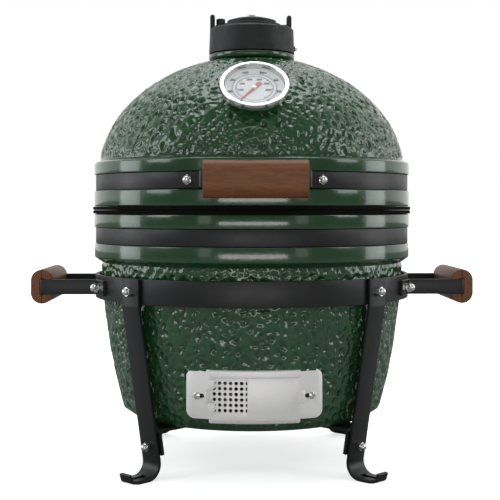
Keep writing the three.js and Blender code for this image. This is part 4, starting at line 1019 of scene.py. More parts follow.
def leg_mesh():
    """A leg in the plane of +X and Z."""
    ground = STRAP_T / 2
    tip = (FOOT_TIP_R - STRAP_T / 2, FOOT_TIP_H)
    path = rounded(
        [
            (LEG_TOP_R, RING_TOP),
            (LEG_TOP_R, LEG_KNEE_Z, KNEE_BEND),
            (leg_middle(ground), ground, HEEL_BEND),
            (FOOT_TIP_R - 1.2 * STRAP_T, ground, TIP_BEND),
            tip,
        ],
        closed=False,
        steps=10,
    )
    bar = moved(swept(path, LEG_W, STRAP_T), upright())
    slot_end = FOOT_TIP_R - FOOT_SLOT_END
    slot_start = leg_middle(ground) + HEEL_BEND
    flat_slot = moved(
        prism(stadium(slot_end - slot_start, FOOT_SLOT_W / 2), -0.003, 0.007),
        Matrix.Translation(((slot_start + slot_end) / 2, 0, 0)),
    )
    stand = Matrix.Translation((slot_start - 0.006, 0, 0)) @ Matrix.Rotation(-math.pi / 2, 4, "Y")
    bend_outline = stadium(2 * FOOT_SLOT_TOP - FOOT_SLOT_W, FOOT_SLOT_W / 2)
    cutters = [flat_slot, moved(prism(bend_outline, -0.02, 0.004), stand)]
    taper_start = FOOT_TIP_R - FOOT_END_L
    past_tip = FOOT_TIP_R + 0.005
    for side in (1, -1):
        corner = [
            (taper_start, side * (LEG_W / 2 + 0.001)),
            (taper_start + FOOT_TAPER_L, side * FOOT_TIP_W / 2),
            (past_tip, side * FOOT_TIP_W / 2),
            (past_tip, side * (LEG_W / 2 + 0.001)),
        ]
        cutters.append(prism(corner, -0.001, 2 * FOOT_TIP_H))
    return carved(bar, *cutters)


LEG = leg_mesh()
for corner, azimuth in LEG_AZIMUTHS.items():
    stands_for("leg_" + corner, moved(LEG.copy(), about_z(azimuth)))

# ---------- Handles ----------


def strap_mesh(bar_x, arm_y, foot_r, foot_end, height):
    """A handle's strap in plan: feet that follow a ring, two arms and a bar."""
    arm_angle = math.asin(arm_y / foot_r)
    foot = [(foot_r * math.cos(a), foot_r * math.sin(a)) for a in spread(foot_end, arm_angle, 12)]
    half = [*foot[:-1], (*foot[-1], 0.004), (bar_x, arm_y, 0.0023)]
    other = [(p[0], -p[1], *p[2:]) for p in reversed(half)]
    path = rounded(half + other, closed=False, steps=8)
    return moved(swept(path, HANDLE_STRAP_H, STRAP_T), Matrix.Translation((0, 0, height)))


def grip_half(length, way):
    """Half of a grip lying along Y, its split face at x = 0 with a groove for the strap's bar."""
    r = GRIP_W / 2
    straight = (GRIP_H - GRIP_W) / 2
    split = GAP / 2
    deep = STRAP_T / 2 + GAP
    tall = HANDLE_STRAP_H / 2 + GAP
    arc = [
        (math.sin(a) * r, straight + math.cos(a) * r)
        for a in spread(math.asin(split / r), math.pi / 2, 14)
    ]
    outer = arc + [(x, -y) for x, y in reversed(arc)]
    notch = [(split, -tall), (deep, -tall), (deep, tall), (split, tall)]
    outline = [(way * x, y) for x, y in outer + notch]
    mesh = prism(outline, -length / 2, length / 2, 0.0009, 3)
    return moved(mesh, upright())


def make_side_handle(side, azimuth):
    low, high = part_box(f"{side}_grip_outer")
    length = high.y - low.y
    split = min(abs(low.x), abs(high.x)) - GAP / 2
    arm = length / 2 + GAP + STRAP_T / 2
    turn = about_z(azimuth)
    foot_end = math.radians(90 - SIDE_FOOT_END_AZ)
    strap = strap_mesh(split, arm, PAD_R + STRAP_T / 2, foot_end, RING_Z)
    stands_for(f"{side}_handle_strap", moved(strap, turn))
    for name, way in (("outer", 1), ("inner", -1)):
        half = moved(grip_half(length, way), turn @ Matrix.Translation((split, 0, RING_Z)))
        stands_for(f"{side}_grip_{name}", half, angle=40)


def make_lid_handle():
    low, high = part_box("lid_grip_front")
    length = high.x - low.x
    split = -high.y - GAP / 2
    arm = length / 2 + GAP + STRAP_T / 2
    turn = about_z(0)
    foot_r = BAND_R + GAP + STRAP_T / 2
    strap = strap_mesh(split, arm, foot_r, math.radians(LID_FOOT_END_AZ), LID_BAND_Z)
    stands_for("lid_handle_strap", moved(strap, turn))
    for name, way in (("front", 1), ("rear", -1)):
        half = moved(grip_half(length, way), turn @ Matrix.Translation((split, 0, LID_BAND_Z)))
        stands_for(f"lid_grip_{name}", half, [WOOD_ACROSS], angle=40)


make_side_handle("right", 90)
make_side_handle("left", -90)
make_lid_handle()

# ---------- Thermometer ----------

CASE_BACK = DIAL_PROUD - CASE_DEPTH
CASE_FLOOR = CASE_BACK + CASE_WALL
DIAL_LOW = CASE_FLOOR + GAP
DIAL_TOP = DIAL_LOW + 0.001
NEEDLE_LOW = DIAL_TOP + 0.0006
LENS_LOW = NEEDLE_LOW + 0.0026


def dial_point(turn, radius):
    """A point on the face, its turn counted clockwise from straight down."""
    return -radius * math.sin(turn), -radius * math.cos(turn)


def make_case():
    bezel_foot = DIAL_PROUD - BEZEL_H
    outline = rounded(
        [
            (0.0045, CASE_BACK),
            (CASE_R, CASE_BACK, 0.0014),
            (CASE_R, bezel_foot, 0.0004),
            (BEZEL_R, bezel_foot, 0.001),
            (BEZEL_R, DIAL_PROUD, 0.0010),
            (DIAL_WINDOW_R, DIAL_PROUD - 0.0005, 0.0004),
            (DIAL_WINDOW_R, CASE_FLOOR, 0.0004),
            (0.0045, CASE_FLOOR),
        ],
        steps=6,
    )
    stands_for("thermometer_case", moved(turned(outline, 128), DIAL), angle=40)


def make_dial():
    face = rounded(
        [
            (0.0019, DIAL_LOW),
            (DIAL_WINDOW_R - GAP, DIAL_LOW),
            (DIAL_WINDOW_R - GAP, DIAL_TOP + 0.0012, 0.0003),
            (DIAL_WINDOW_R - 0.0042, DIAL_TOP, 0.0012),
            (0.0019, DIAL_TOP),
        ],
        steps=4,
    )
    stands_for("thermometer_dial", moved(turned(face, 96), DIAL))
    first, last = math.radians(36), math.radians(324)
    marks = []
    for scale_r, divisions, length in ((OUTER_SCALE_R, 70, 0.0022), (INNER_SCALE_R, 60, -0.0017)):
        for k, turn in enumerate(spread(first, last, divisions + 1)):
            major = k % 10 == 0
            long = length * (1.6 if major else 1.0)
            marks.append(tick(turn, scale_r, scale_r + long, 0.00045 if major else 0.00022))
    for radius in (OUTER_SCALE_R, INNER_SCALE_R):
        marks.append(turned(ring_line(radius, PRINT_LINE), 96))
    piece("dial_scale", moved(joined(*marks), DIAL), "lid", look=[PRINT], angle=20)
    turns = list(enumerate(spread(first, last, 8), 1))
    numbers = [number(str(100 * k), dial_point(turn, 0.0300), 0.0056) for k, turn in turns]
    numbers += [number(str(50 * k), dial_point(turn, 0.0162), 0.0044) for k, turn in turns[1:-1]]
    piece("dial_numbers", moved(joined(*numbers), DIAL), "lid", look=[PRINT], angle=20)


def ring_line(radius, half):
    inner, outer, top = radius - half, radius + half, DIAL_TOP + PRINT_T
    return [(inner, DIAL_TOP), (outer, DIAL_TOP), (outer, top), (inner, top)]


def tick(turn, inner, outer, half):
    a, b = Vector(dial_point(turn, inner)), Vector(dial_point(turn, outer))
    side = (b - a).orthogonal().normalized() * half
    outline = [a - side, a + side, b + side, b - side]
    return prism(outline, DIAL_TOP, DIAL_TOP + PRINT_T)


def number(text, place, size):
    """A printed number, centred on its place."""
    curve = bpy.data.curves.new("number", "FONT")
    curve.body = text
    curve.size = size
    curve.align_x = "CENTER"
    curve.align_y = "CENTER"
    curve.extrude = PRINT_T / 2
    curve.offset = size * 0.06
    curve.resolution_u = 3
    obj = bpy.data.objects.new("number", curve)
    SCENE.collection.objects.link(obj)
    mesh = evaluated(obj)
    bpy.data.objects.remove(obj)
    return moved(tidied(mesh), Matrix.Translation((*place, DIAL_TOP + PRINT_T / 2)))


def make_needle():
    right = [(0.0004, -NEEDLE_TIP), (0.0015, -0.002), (0.0026, 0.0035), (0.0029, NEEDLE_TAIL - 0.002)]
    outline = right + [(0.0, NEEDLE_TAIL)] + [(-x, y) for x, y in reversed(right)]
    pointer = prism(outline, NEEDLE_LOW, NEEDLE_LOW + 0.0008, 0.0002)
    spindle = prism(circle(0.0016), DIAL_LOW, NEEDLE_LOW + 0.0003)
    turn = DIAL @ Matrix.Rotation(NEEDLE_ANGLE, 4, "Z")
    stands_for("thermometer_needle", moved(joined(pointer, spindle), turn), angle=30)
    cap = rounded(
        [
            (0.0, NEEDLE_LOW + 0.0004),
            (0.0026, NEEDLE_LOW + 0.0004),
            (0.0026, NEEDLE_LOW + 0.0020, 0.0012),
            (0.0, NEEDLE_LOW + 0.0021),
        ],
        closed=False,
        steps=5,
    )
    piece("needle_hub", moved(turned(cap, 32), turn), "needle", look=[HUB])


def make_lens_and_probe():
    top = LENS_LOW + 0.0015
    r = DIAL_WINDOW_R - GAP
    lens = rounded([(0.0, LENS_LOW), (r, LENS_LOW), (r, top, 0.0004), (0.0, top)], closed=False)
    stands_for("thermometer_lens", moved(turned(lens, 96), DIAL))
    probe = rounded(
        [
            (0.0, -PROBE_L),
            (PROBE_R, -PROBE_L, 0.003),
            (PROBE_R, 0.0015, 0.0004),
            (2 * PROBE_R, 0.0015, 0.0006),
            (2 * PROBE_R, CASE_BACK - GAP, 0.0006),
            (PROBE_R, CASE_BACK - GAP),
            (PROBE_R, CASE_FLOOR),
            (0.0, CASE_FLOOR),
        ],
        closed=False,
    )
    stands_for("thermometer_probe", moved(turned(probe, 48), DIAL))
    middle = -DOME_WALL - 0.0065
    nut = prism(hexagon(0.017), middle - 0.0025, middle + 0.0025, 0.0008, 3)
    bore = prism(circle(PROBE_R + GAP, steps=32), middle - 0.006, middle + 0.006)
    stands_for("thermometer_nut", moved(carved(nut, bore), DIAL), angle=28)


make_case()
make_dial()
make_needle()
make_lens_and_probe()

# ---------- Top vent ----------

VENT_LOW = low_high("vent_housing")[0]
VENT_TOP = VENT_LOW + VENT_H
DISC_LOW, TAB_TOP = low_high("vent_slide_disc")
DISC_TOP = DISC_LOW + DISC_T
DAISY_LOW, DAISY_TOP = low_high("daisy_wheel")


def ear_mesh(x, thickness, half_width, low, top):
    """An upright lug with a round top, seen along Y."""
    r = thickness / 2
    arc = [(x + r * math.cos(a), top - r + r * math.sin(a)) for a in spread(0, math.pi, 13)]
    return moved(prism([(x - r, low), (x + r, low), *arc], -half_width, half_width, 0.0009, 3), upright())


def drills(low, high, radius, count, at, first=0.0, steps=32):
    """Round cutters along Z, evenly round a circle."""
    made = []
    for k in range(count):
        angle = first + 2 * math.pi * k / count
        made.append(prism(circle(radius, at * math.cos(angle), at * math.sin(angle), steps), low, high))
    return joined(*made)


def petal_cutters(low, high, radius):
    return drills(low - 0.01, high + 0.01, radius, PETALS, PETAL_AT, math.pi / PETALS)


def make_vent():
    sleeve = SPIGOT_R + GAP
    section = rounded(
        [
            (sleeve, VENT_LOW, 0.0004),
            (VENT_R, VENT_LOW, 0.0012),
            (VENT_R - 0.0011, VENT_TOP - 0.0022, 0.0006),
            (VENT_R - 0.0033, VENT_TOP, 0.0006),
            (VENT_HOLE_R, VENT_TOP, 0.001),
            (VENT_HOLE_R, VENT_TOP - VENT_PLATE_T, 0.0005),
            (sleeve, VENT_TOP - VENT_PLATE_T, 0.001),
        ],
        steps=4,
    )
    ring = turned(section, TURN)
    ear = ear_mesh(-VENT_EAR_X, EAR_T, 0.005, VENT_TOP - 0.003, low_high("vent_housing")[1])
    pivot = prism(circle(BOLT_R + GAP, -PIVOT_X), VENT_TOP - 0.01, VENT_TOP + 0.01)
    stands_for("vent_housing", carved(fused(ring, ear), pivot))
    felt_r, low, high = VENT_R - 0.0005, NECK_Z + 0.0001, VENT_LOW - 0.0001
    felt = [(sleeve, low), (felt_r, low), (felt_r, high), (sleeve, high)]
    piece("vent_gasket", turned(felt), "lid", "felt")


def make_slide_disc():
    disc = prism(circle(DISC_R, steps=120), DISC_LOW, DISC_TOP, 0.0008, 3)
    lobe = prism(circle(0.007, -PIVOT_X, steps=40), DISC_LOW, DISC_TOP, 0.0008, 3)
    tab_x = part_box("vent_slide_disc")[1].x
    half = DISC_ARM_W / 2
    arm = rounded([(-PIVOT_X, -half), (tab_x, -half, 0.002), (tab_x, half, 0.002), (-PIVOT_X, half)])
    arm = prism(arm, DISC_LOW + 0.0001, DISC_TOP - 0.0001, 0.0008, 3)
    tab = ear_mesh(tab_x - EAR_T / 2, EAR_T, half, DISC_LOW + 0.001, TAB_TOP)
    body = fused(disc, lobe, arm, tab)
    holes = joined(
        prism(circle(BOLT_R + GAP, -PIVOT_X), DISC_LOW - 0.01, DISC_TOP + 0.01),
        prism(circle(BOLT_R + GAP), DISC_LOW - 0.01, DISC_TOP + 0.01),
        petal_cutters(DISC_LOW, DISC_TOP, PETAL_R),
    )
    counterbore = prism(circle(HEAD_R + GAP), DISC_LOW - 0.001, DISC_LOW + 0.0025)
    stands_for("vent_slide_disc", carved(body, holes, counterbore))


def make_daisy():
    outer = reach("daisy_wheel")
    edge = DAISY_LOW + 0.0045
    hub = 0.008
    wall = 0.003
    bore = BOLT_R + GAP
    crown = [
        (outer + (hub - outer) * t, edge + (DAISY_TOP - edge) * math.sin(t * math.pi / 2))
        for t in spread(0, 1, 18)
    ]
    under = [(r, z - wall) for r, z in reversed(crown[4:-3]) if z - wall > DAISY_LOW]
    profile = [
        (bore, DAISY_LOW),
        (hub, DAISY_LOW),
        (hub, DAISY_TOP - wall),
        *under,
        (outer - wall, DAISY_LOW),
        (outer, DAISY_LOW),
        *crown,
        (bore, DAISY_TOP),
    ]
    body = carved(turned(profile, 128), petal_cutters(DAISY_LOW, DAISY_TOP, PETAL_R - 0.0005))
    stands_for("daisy_wheel", softened(body, 0.0004, 35))


def make_vent_bolts():
    nut_low = DAISY_TOP + GAP
    nut = carved(
        prism(hexagon(NUT_FLATS), nut_low, nut_low + 0.0034, 0.0006, 3),
        prism(circle(0.0024), nut_low - 0.001, nut_low + 0.01),
    )
    head = DISC_LOW + GAP
    top = low_high("daisy_bolt")[1]
    shank = rounded(
        [
            (0.0, head),
            (HEAD_R, head, 0.0004),
            (HEAD_R, head + 0.0016),
            (BOLT_R, head + 0.0016),
            (BOLT_R, nut_low - 0.0001),
            (0.00235, nut_low),
            (0.00235, top, 0.0008),
            (0.0, top),
        ],
        closed=False,
    )
    stands_for("daisy_bolt", joined(nut, turned(shank, 32)), angle=28)
    low, top = low_high("vent_pivot_bolt")
    head = DISC_TOP + GAP
    bolt = prism(hexagon(NUT_FLATS, -PIVOT_X), head, top, 0.0008, 3)
    shank = prism(circle(BOLT_R, -PIVOT_X), low, head + 0.001)
    stands_for("vent_pivot_bolt", fused(bolt, shank), [LOOKS["black_powder_coat"]], angle=28)
    turn = Matrix.Translation((VENT_R - 0.0015, 0, VENT_LOW + 0.008)) @ along_x()
    collar = rounded([(0.0, 0.0), (0.0034, 0.0), (0.0034, 0.0026, 0.0005), (0.0, 0.0026)], closed=False)
    piece("vent_clamp_boss", moved(turned(collar, 32), turn), "lid", "cast_vent")
    tip = [(0.0, 0.0022), (0.0022, 0.0022), (0.0022, 0.0048, 0.0014), (0.0, 0.0050)]
    tip = rounded(tip, closed=False)
    piece("vent_clamp_screw", moved(turned(tip, 32), turn), "lid", "bright_steel")


make_vent()
make_slide_disc()
make_daisy()
make_vent_bolts()

# ---------- Draft door ----------


def wrapped(mesh, radius, step=1.0):
    """Bends what was drawn flat round the front: X runs along the arc, Y is the height, Z stands out."""
    bm = bmesh.new()
    bm.from_mesh(mesh)
    half = max(abs(v.co.x) for v in bm.verts)
    pace = math.radians(step) * radius
    for k in range(-int(half / pace), int(half / pace) + 1):
        geometry = bm.verts[:] + bm.edges[:] + bm.faces[:]
        place = (k * pace, 0, 0)
        bmesh.ops.bisect_plane(bm, geom=geometry, plane_co=place, plane_no=(1, 0, 0), dist=1e-6)
    for vertex in bm.verts:
        angle = vertex.co.x / radius
        r = radius + vertex.co.z
        vertex.co = (r * math.sin(angle), -r * math.cos(angle), vertex.co.y)
    bmesh.ops.recalc_face_normals(bm, faces=bm.faces)
    bm.to_mesh(mesh)
    bm.free()
    return mesh


def flat_rectangle(x0, x1, z0, z1, radii=(0, 0, 0, 0)):
    """An outline in X and Y, from its lower left corner anticlockwise, with a radius for each corner."""
    corners = [(x0, z0), (x1, z0), (x1, z1), (x0, z1)]
    return rounded([(*c, r) for c, r in zip(corners, radii)], steps=8)


def rail(section, x0, x1, taper=0.0):
    """A section of (out, height) carried along the arc; taper draws in the ends of its outer points."""
    n = len(section)
    out_most = max(p[0] for p in section)
    points = []
    for x, way in ((x0, 1), (x1, -1)):
        points += [(x + way * taper * max(0.0, p[0]) / out_most, p[1], p[0]) for p in section]
    faces = [tuple(range(n)), tuple(n + k for k in range(n))]
    faces += [(k, (k + 1) % n, n + (k + 1) % n, n + k) for k in range(n)]
    return mesh_of(points, faces)


def make_draft_frame():
    channel_top = low_high("draft_frame")[1]
    frame_z = DRAFT_Z + FRAME_UP - FRAME_H / 2
    channel_z = DRAFT_Z - CHANNEL_DROP - CHANNEL_H / 2
    arc = math.radians(1) * FRAME_R
    half = FRAME_HALF * arc
    outline = flat_rectangle(-half, half, frame_z, frame_z + FRAME_H, (FRAME_CORNER,) * 4)
    half = DRAFT_OPENING_HALF * arc
    sill, head = DRAFT_Z - DRAFT_OPENING_H / 2, DRAFT_Z + DRAFT_OPENING_H / 2
    window = flat_rectangle(-half, half, sill, head, (0.003,) * 4)
    slots = []
    for side in (1, -1):
        x = side * (DRAFT_SCREW_AZ * arc - SLOT_SPAN / 2)
        slot = prism(stadium(SLOT_SPAN, 0.0025), -0.01, 0.01)
        slots.append(moved(slot, Matrix.Translation((x, DRAFT_Z, 0))))
    plate = carved(prism(outline, 0, SHEET_T, 0.0003), prism(window, -0.01, 0.01), *slots)
    lip = LIP_R - FRAME_R
    out = lip + SHEET_T
    end = CHANNEL_HALF * arc
    top_lip = channel_top - TOP_LIP
    top_section = rounded(
        [
            (0.0, channel_top, 0.0004),
            (0.0, channel_top - SHEET_T),
            (lip, channel_top - SHEET_T, 0.0004),
            (lip, top_lip, 0.0003),
            (out, top_lip, 0.0005),
            (out, channel_top, 0.0022),
        ]
    )
    foot_section = rounded(
        [
            (0.0, channel_z + SHEET_T),
            (0.0, channel_z, 0.0004),
            (out, channel_z, 0.002),
            (out + 0.0020, channel_z + FOOT_LIP, 0.0004),
            (out + 0.0008, channel_z + FOOT_LIP + 0.0004, 0.0004),
            (lip, channel_z + SHEET_T, 0.0006),
        ]
    )
    skirt = prism(flat_rectangle(-end, end, channel_z, frame_z + 0.001), 0, SHEET_T, 0.0003)
    parts = [
        plate,
        rail(top_section, -end, end, 0.001),
        rail(foot_section, -end, end, 0.0055),
        skirt,
    ]
    stands_for("draft_frame", fused(*[wrapped(p, FRAME_R) for p in parts]), angle=35)


def finger_tab(x, way):
    """A lug bent out of a slider's end, drawn flat: it stands out and leans away."""
    half = SLIDER_T / 2
    lean = way * TAB_LEAN
    section = [(0.0, -half), (TAB_OUT, lean - half), (TAB_OUT, lean + half), (0.0, half)]
    outline = rounded([(x + along, out) for out, along in section], 0.0002, 2)
    lug = prism(outline, -TAB_H / 2, TAB_H / 2, 0.0002)
    return moved(lug, Matrix.Translation((0, DRAFT_Z, 0)) @ upright())


def make_screen():
    low, high = low_high("draft_screen")
    arc = math.radians(1) * SCREEN_R
    outline = flat_rectangle(-SLIDER_END_AZ * arc, SCREEN_EDGE_AZ * arc, low, high)
    holes = []
    for column in range(HOLE_COLUMNS):
        for row in range(HOLE_ROWS):
            x = (DOOR_EDGE_AZ - column * HOLE_STEP_AZ) * arc
            z = DRAFT_Z + (row - (HOLE_ROWS - 1) / 2) * HOLE_PITCH
            holes.append(prism(circle(HOLE_R, x, z, 20), -0.01, 0.01))
    sheet = carved(prism(outline, 0, SLIDER_T, 0.0002), joined(*holes))
    tab = finger_tab(-(SLIDER_END_AZ - 0.6) * arc, -1)
    start, end, low, high = -16.6 * arc, -14.6 * arc, 0.0008, 0.0056
    path = rounded(
        [(start, low), (start, high, 0.0012), (end, high, 0.0012), (end, low)], closed=False
    )
    loops = []
    for middle in (DRAFT_Z + 0.0145, DRAFT_Z - 0.0115):
        loop = swept(path, 0.0095, 0.0009, 0.0002)
        loops.append(moved(loop, Matrix.Translation((0, middle, 0)) @ upright()))
    stands_for(
        "draft_screen", joined(*[wrapped(p, SCREEN_R) for p in (sheet, tab, *loops)]), angle=30
    )


def make_door():
    low, high = low_high("draft_door")
    arc = math.radians(1) * DOOR_R
    outline = flat_rectangle(DOOR_EDGE_AZ * arc, SLIDER_END_AZ * arc, low, high)
    sheet = prism(outline, 0, SLIDER_T, 0.0002)
    tab = finger_tab((SLIDER_END_AZ - 0.4) * arc, 1)
    stands_for("draft_door", joined(wrapped(sheet, DOOR_R), wrapped(tab, DOOR_R)), angle=30)


def make_draft_screws():
    bearing = FRAME_R + SHEET_T + GAP
    head = rounded(
        [
            (0.0, -0.016),
            (0.002, -0.015),
            (0.002, 0.0),
            (0.0042, 0.0, 0.0004),
            (0.0042, 0.0022, 0.0010),
            (0.0, 0.0030, 0.0006),
        ],
        closed=False,
        steps=5,
    )
    screw = turned(head, 40)
    slot = prism(flat_rectangle(-0.006, 0.006, -0.0005, 0.0005), 0.0020, 0.006)
    screw = carved(screw, slot)
    for name, side, turn in (("left", -1, 1.1), ("right", 1, 0.5)):
        place = about_z(side * DRAFT_SCREW_AZ) @ Matrix.Translation((bearing, 0, DRAFT_Z)) @ along_x()
        place = place @ Matrix.Rotation(turn, 4, "Z")
        stands_for(f"draft_screw_{name}", moved(screw.copy(), place))


make_draft_frame()
make_screen()
make_door()
make_draft_screws()

# ---------- Hinge ----------


def bevelled_cad(node, width=0.0006, angle=32):
    """Keeps a CAD node's own shape and gives it a finish and rounded edges."""
    obj = frame["nodes"][node]
    obj.data.materials.clear()
    obj.data.materials.append(LOOKS[SLOT_OF[node]])
    bevel = obj.modifiers.new("edges", "BEVEL")
    bevel.width = width
    bevel.segments = 2
    bevel.limit_method = "ANGLE"
    bevel.angle_limit = math.radians(angle)
    smooth(obj.data, angle)


def make_hinge():
    low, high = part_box("hinge_pin")
    centre = (low + high) / 2
    half = high.x
    head_x = half - 0.003
    outline = rounded(
        [
            (0.0, -half),
            (0.007, -half, 0.001),
            (0.007, -head_x, 0.0003),
            (0.004, -head_x),
            (0.004, head_x),
            (0.007, head_x, 0.0003),
            (0.007, half, 0.001),
            (0.0, half),
        ],
        closed=False,
    )
    pin = turned(outline, 40)
    stands_for("hinge_pin", moved(pin, Matrix.Translation((0, centre.y, centre.z)) @ along_x()))
    for side, way in (("right", 1), ("left", -1)):
        make_spring(f"hinge_spring_{side}", way, centre)


def make_spring(node, way, centre):
    """A coil round the pin."""
    low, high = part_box(node)
    wire, coil_r, turns, steps = 0.0012, 0.0068, 4, 112
    near, far = sorted((abs(low.x), abs(high.x)))
    near, far = near + wire, far - wire
    path = []
    for k in range(steps + 1):
        angle = 2 * math.pi * turns * k / steps
        x = way * (near + (far - near) * k / steps)
        path.append((x, centre.y + coil_r * math.cos(angle), centre.z + coil_r * math.sin(angle)))
    stands_for(node, tube(path, wire))


make_hinge()
bevelled_cad("hinge_lower_bracket")
bevelled_cad("hinge_upper_bracket")
bevelled_cad("cross_base")

# ---------- Inside the bowl ----------


def make_fire_box():
    low, high = low_high("fire_box")
    ledge = low + 0.0593
    top_r = reach("fire_box")
    outline = rounded(
        [
            (0.100, low, 0.003),
            (0.128, low, 0.004),
            (top_r, high, 0.004),
            (top_r - 0.018, high, 0.004),
            (0.118, ledge + 0.010, 0.004),
            (0.113, ledge, 0.002),
            (0.100, ledge, 0.003),
        ]
    )
    body = turned(outline, TURN)
    port = prism(flat_rectangle(-0.026, 0.026, low + 0.002, low + 0.040, (0.004,) * 4), 0.0, top_r)
    notch = flat_rectangle(-0.004, 0.004, high - 0.028, high + 0.01, (0.003,) * 4)
    notch = moved(prism(notch, 0.11, top_r + 0.02), upright())
    slots = [moved(notch.copy(), about_z(22.5 + 45 * k)) for k in range(8)]
    body = carved(body, moved(port, upright()), joined(*slots))
    stands_for("fire_box", softened(body, 0.001, 40))


def make_fire_ring():
    low, high = low_high("fire_ring")
    outer = reach("fire_ring")
    outline = rounded([(outer - 0.016, low), (outer, low), (outer, high), (outer - 0.016, high)], 0.003)
    stands_for("fire_ring", turned(outline, TURN))


def make_charcoal_grate():
    low, high = low_high("charcoal_grate")
    outer = reach("charcoal_grate")
    plate = prism(circle(outer, steps=120), low, high, 0.001, 3)
    rows_of_holes = ((0.32 * outer, 6), (0.68 * outer, 12))
    holes = [drills(low - 0.01, high + 0.01, 0.008, count, at, steps=28) for at, count in rows_of_holes]
    stands_for("charcoal_grate", softened(carved(plate, joined(*holes)), 0.0006, 40))


def make_cooking_grate():
    low, high = low_high("cooking_grate")
    middle = (low + high) / 2
    rod, wire, pitch = 0.003, 0.002, 0.025
    r = reach("cooking_grate") - rod
    rim = [(x, y, middle) for x, y in circle(r, steps=144)]
    parts = [tube(rim, rod, 16, closed=True)]
    count = int(r / pitch)
    for i in range(-count, count + 1):
        x = i * pitch
        y = math.sqrt(r * r - x * x)
        parts.append(tube([(x, -y, middle + 0.001), (x, y, middle + 0.001)], wire))
    for y in (-r / 2, r / 2):
        x = math.sqrt(r * r - y * y)
        parts.append(tube([(-x, y, middle - 0.001), (x, y, middle - 0.001)], wire))
    stands_for("cooking_grate", joined(*parts))


make_fire_box()
make_fire_ring()
make_charcoal_grate()
make_cooking_grate()

# ---------- Studio ----------

CAMERA_DISTANCE = 1.440
CAMERA_HEIGHT = 0.319
CAMERA_YAW = math.radians(1.1)
WORLD_FRONT = 0.20  # brightness of the room in front of the object
WORLD_BACK = 0.9  # and of the sweep behind it


def make_camera():
    data = bpy.data.cameras.new("camera")
    data.sensor_width = 36
    data.lens = 80.1
    data.shift_x = -0.0034
    data.shift_y = -0.083
    camera = bpy.data.objects.new("camera", data)
    camera.location = (
        -CAMERA_DISTANCE * math.sin(CAMERA_YAW),
        -CAMERA_DISTANCE * math.cos(CAMERA_YAW),
        CAMERA_HEIGHT,
    )
    camera.rotation_euler = (math.pi / 2, 0, -CAMERA_YAW)
    SCENE.collection.objects.link(camera)
    SCENE.camera = camera


def softbox(name, place, size, radiance, target=(0, 0, 0.3), tint=(1, 1, 1)):
    """A rectangular light of even brightness, facing its target."""
    data = bpy.data.lights.new(name, "AREA")
    data.shape = "RECTANGLE"
    data.size, data.size_y = size
    data.energy = math.pi * radiance * size[0] * size[1]
    data.color = tint
    light = bpy.data.objects.new(name, data)
    light.location = place
    light.rotation_euler = (Vector(target) - Vector(place)).to_track_quat("-Z", "Y").to_euler()
    SCENE.collection.objects.link(light)


def make_floor():
    """A pale floor that brightens into the background away from the object through a painted glow: for
    camera rays it emits white, weaker near the object. To other rays it is a darker grey, a painted shade
    in its reflections and bounce light.
    """
    look = Look("studio_floor", Roughness=0.95)
    away = look.node("ShaderNodeVectorMath", operation="LENGTH")
    look.feed(away.inputs[0], look.place)
    seen = look.node("ShaderNodeLightPath").outputs["Is Camera Ray"]
    # Painted glow: the floor's emission for camera rays, from 0.66 near the object to full white away
    # from it.
    painted_glow = look.ramp(away.outputs["Value"], (0.16, 0.66), (0.50, 1.0))
    tone = look.ramp(look.noise(3), (0.3, (0.80, 0.80, 0.80)), (0.7, (0.83, 0.83, 0.83)))
    # The darker grey (0.32) seen by rays other than the camera's is painted shade in the floor's
    # reflections and bounce light.
    look.set(
        Base_Color=look.mix(seen, (0.32, 0.32, 0.32), tone),
        Emission_Color=(1, 1, 1, 1),
        Emission_Strength=look.math("MULTIPLY", painted_glow, seen),
    )
    disc = bpy.data.meshes.new("floor")
    bm = bmesh.new()
    bmesh.ops.create_circle(bm, cap_ends=True, radius=9, segments=96)
    bm.to_mesh(disc)
    bm.free()
    disc.materials.append(look.material)
    floor = bpy.data.objects.new("floor", disc)
    SCENE.collection.objects.link(floor)


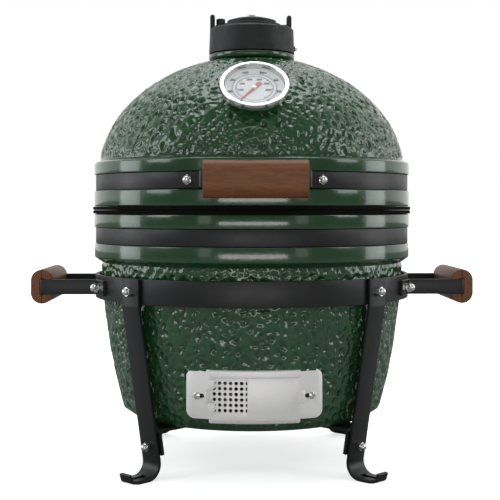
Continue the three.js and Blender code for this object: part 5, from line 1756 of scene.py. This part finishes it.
def make_world():
    """A white sweep behind the object and a dim room in front of it. The camera sees plain white."""
    world = bpy.data.worlds.new("studio")
    SCENE.world = world
    world.use_nodes = True
    tree = world.node_tree
    direction = tree.nodes.new("ShaderNodeTexCoord")
    split = tree.nodes.new("ShaderNodeSeparateXYZ")
    sweep = tree.nodes.new("ShaderNodeMapRange")
    seen = tree.nodes.new("ShaderNodeLightPath")
    either = tree.nodes.new("ShaderNodeMath")
    either.operation = "MAXIMUM"
    sweep.inputs["From Min"].default_value = -0.25
    sweep.inputs["From Max"].default_value = 0.45
    sweep.inputs["To Min"].default_value = WORLD_FRONT
    sweep.inputs["To Max"].default_value = WORLD_BACK
    tree.links.new(direction.outputs["Generated"], split.inputs[0])
    tree.links.new(split.outputs["Y"], sweep.inputs["Value"])
    tree.links.new(sweep.outputs["Result"], either.inputs[0])
    tree.links.new(seen.outputs["Is Camera Ray"], either.inputs[1])
    tree.links.new(either.outputs[0], tree.nodes["Background"].inputs["Strength"])
    tree.nodes["Background"].inputs["Color"].default_value = (1, 1, 1, 1)


make_camera()
make_floor()
make_world()
softbox("left_panel", (-2.2, -0.9, 1.3), (0.9, 1.5), 3.6, tint=(0.90, 0.96, 1.0))
softbox("right_panel", (2.2, -0.9, 1.3), (0.8, 1.5), 3.2, tint=(0.95, 0.98, 1.0))
softbox("left_low", (-1.9, 0.1, 0.45), (0.7, 0.8), 2.6, tint=(0.92, 0.97, 1.0))
softbox("right_low", (1.9, 0.1, 0.45), (0.7, 0.8), 2.4, tint=(0.95, 0.98, 1.0))
softbox("top_panel", (0.0, 0.2, 2.3), (1.7, 1.1), 2.6, tint=(0.90, 0.96, 1.0))
softbox("front_left_strip", (-1.45, -2.25, 0.5), (0.40, 0.8), 0.9)
softbox("front_right_strip", (1.45, -2.25, 0.5), (0.40, 0.8), 0.8)
softbox("front_high", (0.0, -2.4, 2.0), (1.6, 0.8), 1.6)
softbox("front_low", (0.0, -2.6, 0.16), (2.2, 0.26), 5.0, target=(0, 0, 0.11))
SCENE.view_settings.view_transform = "Standard"
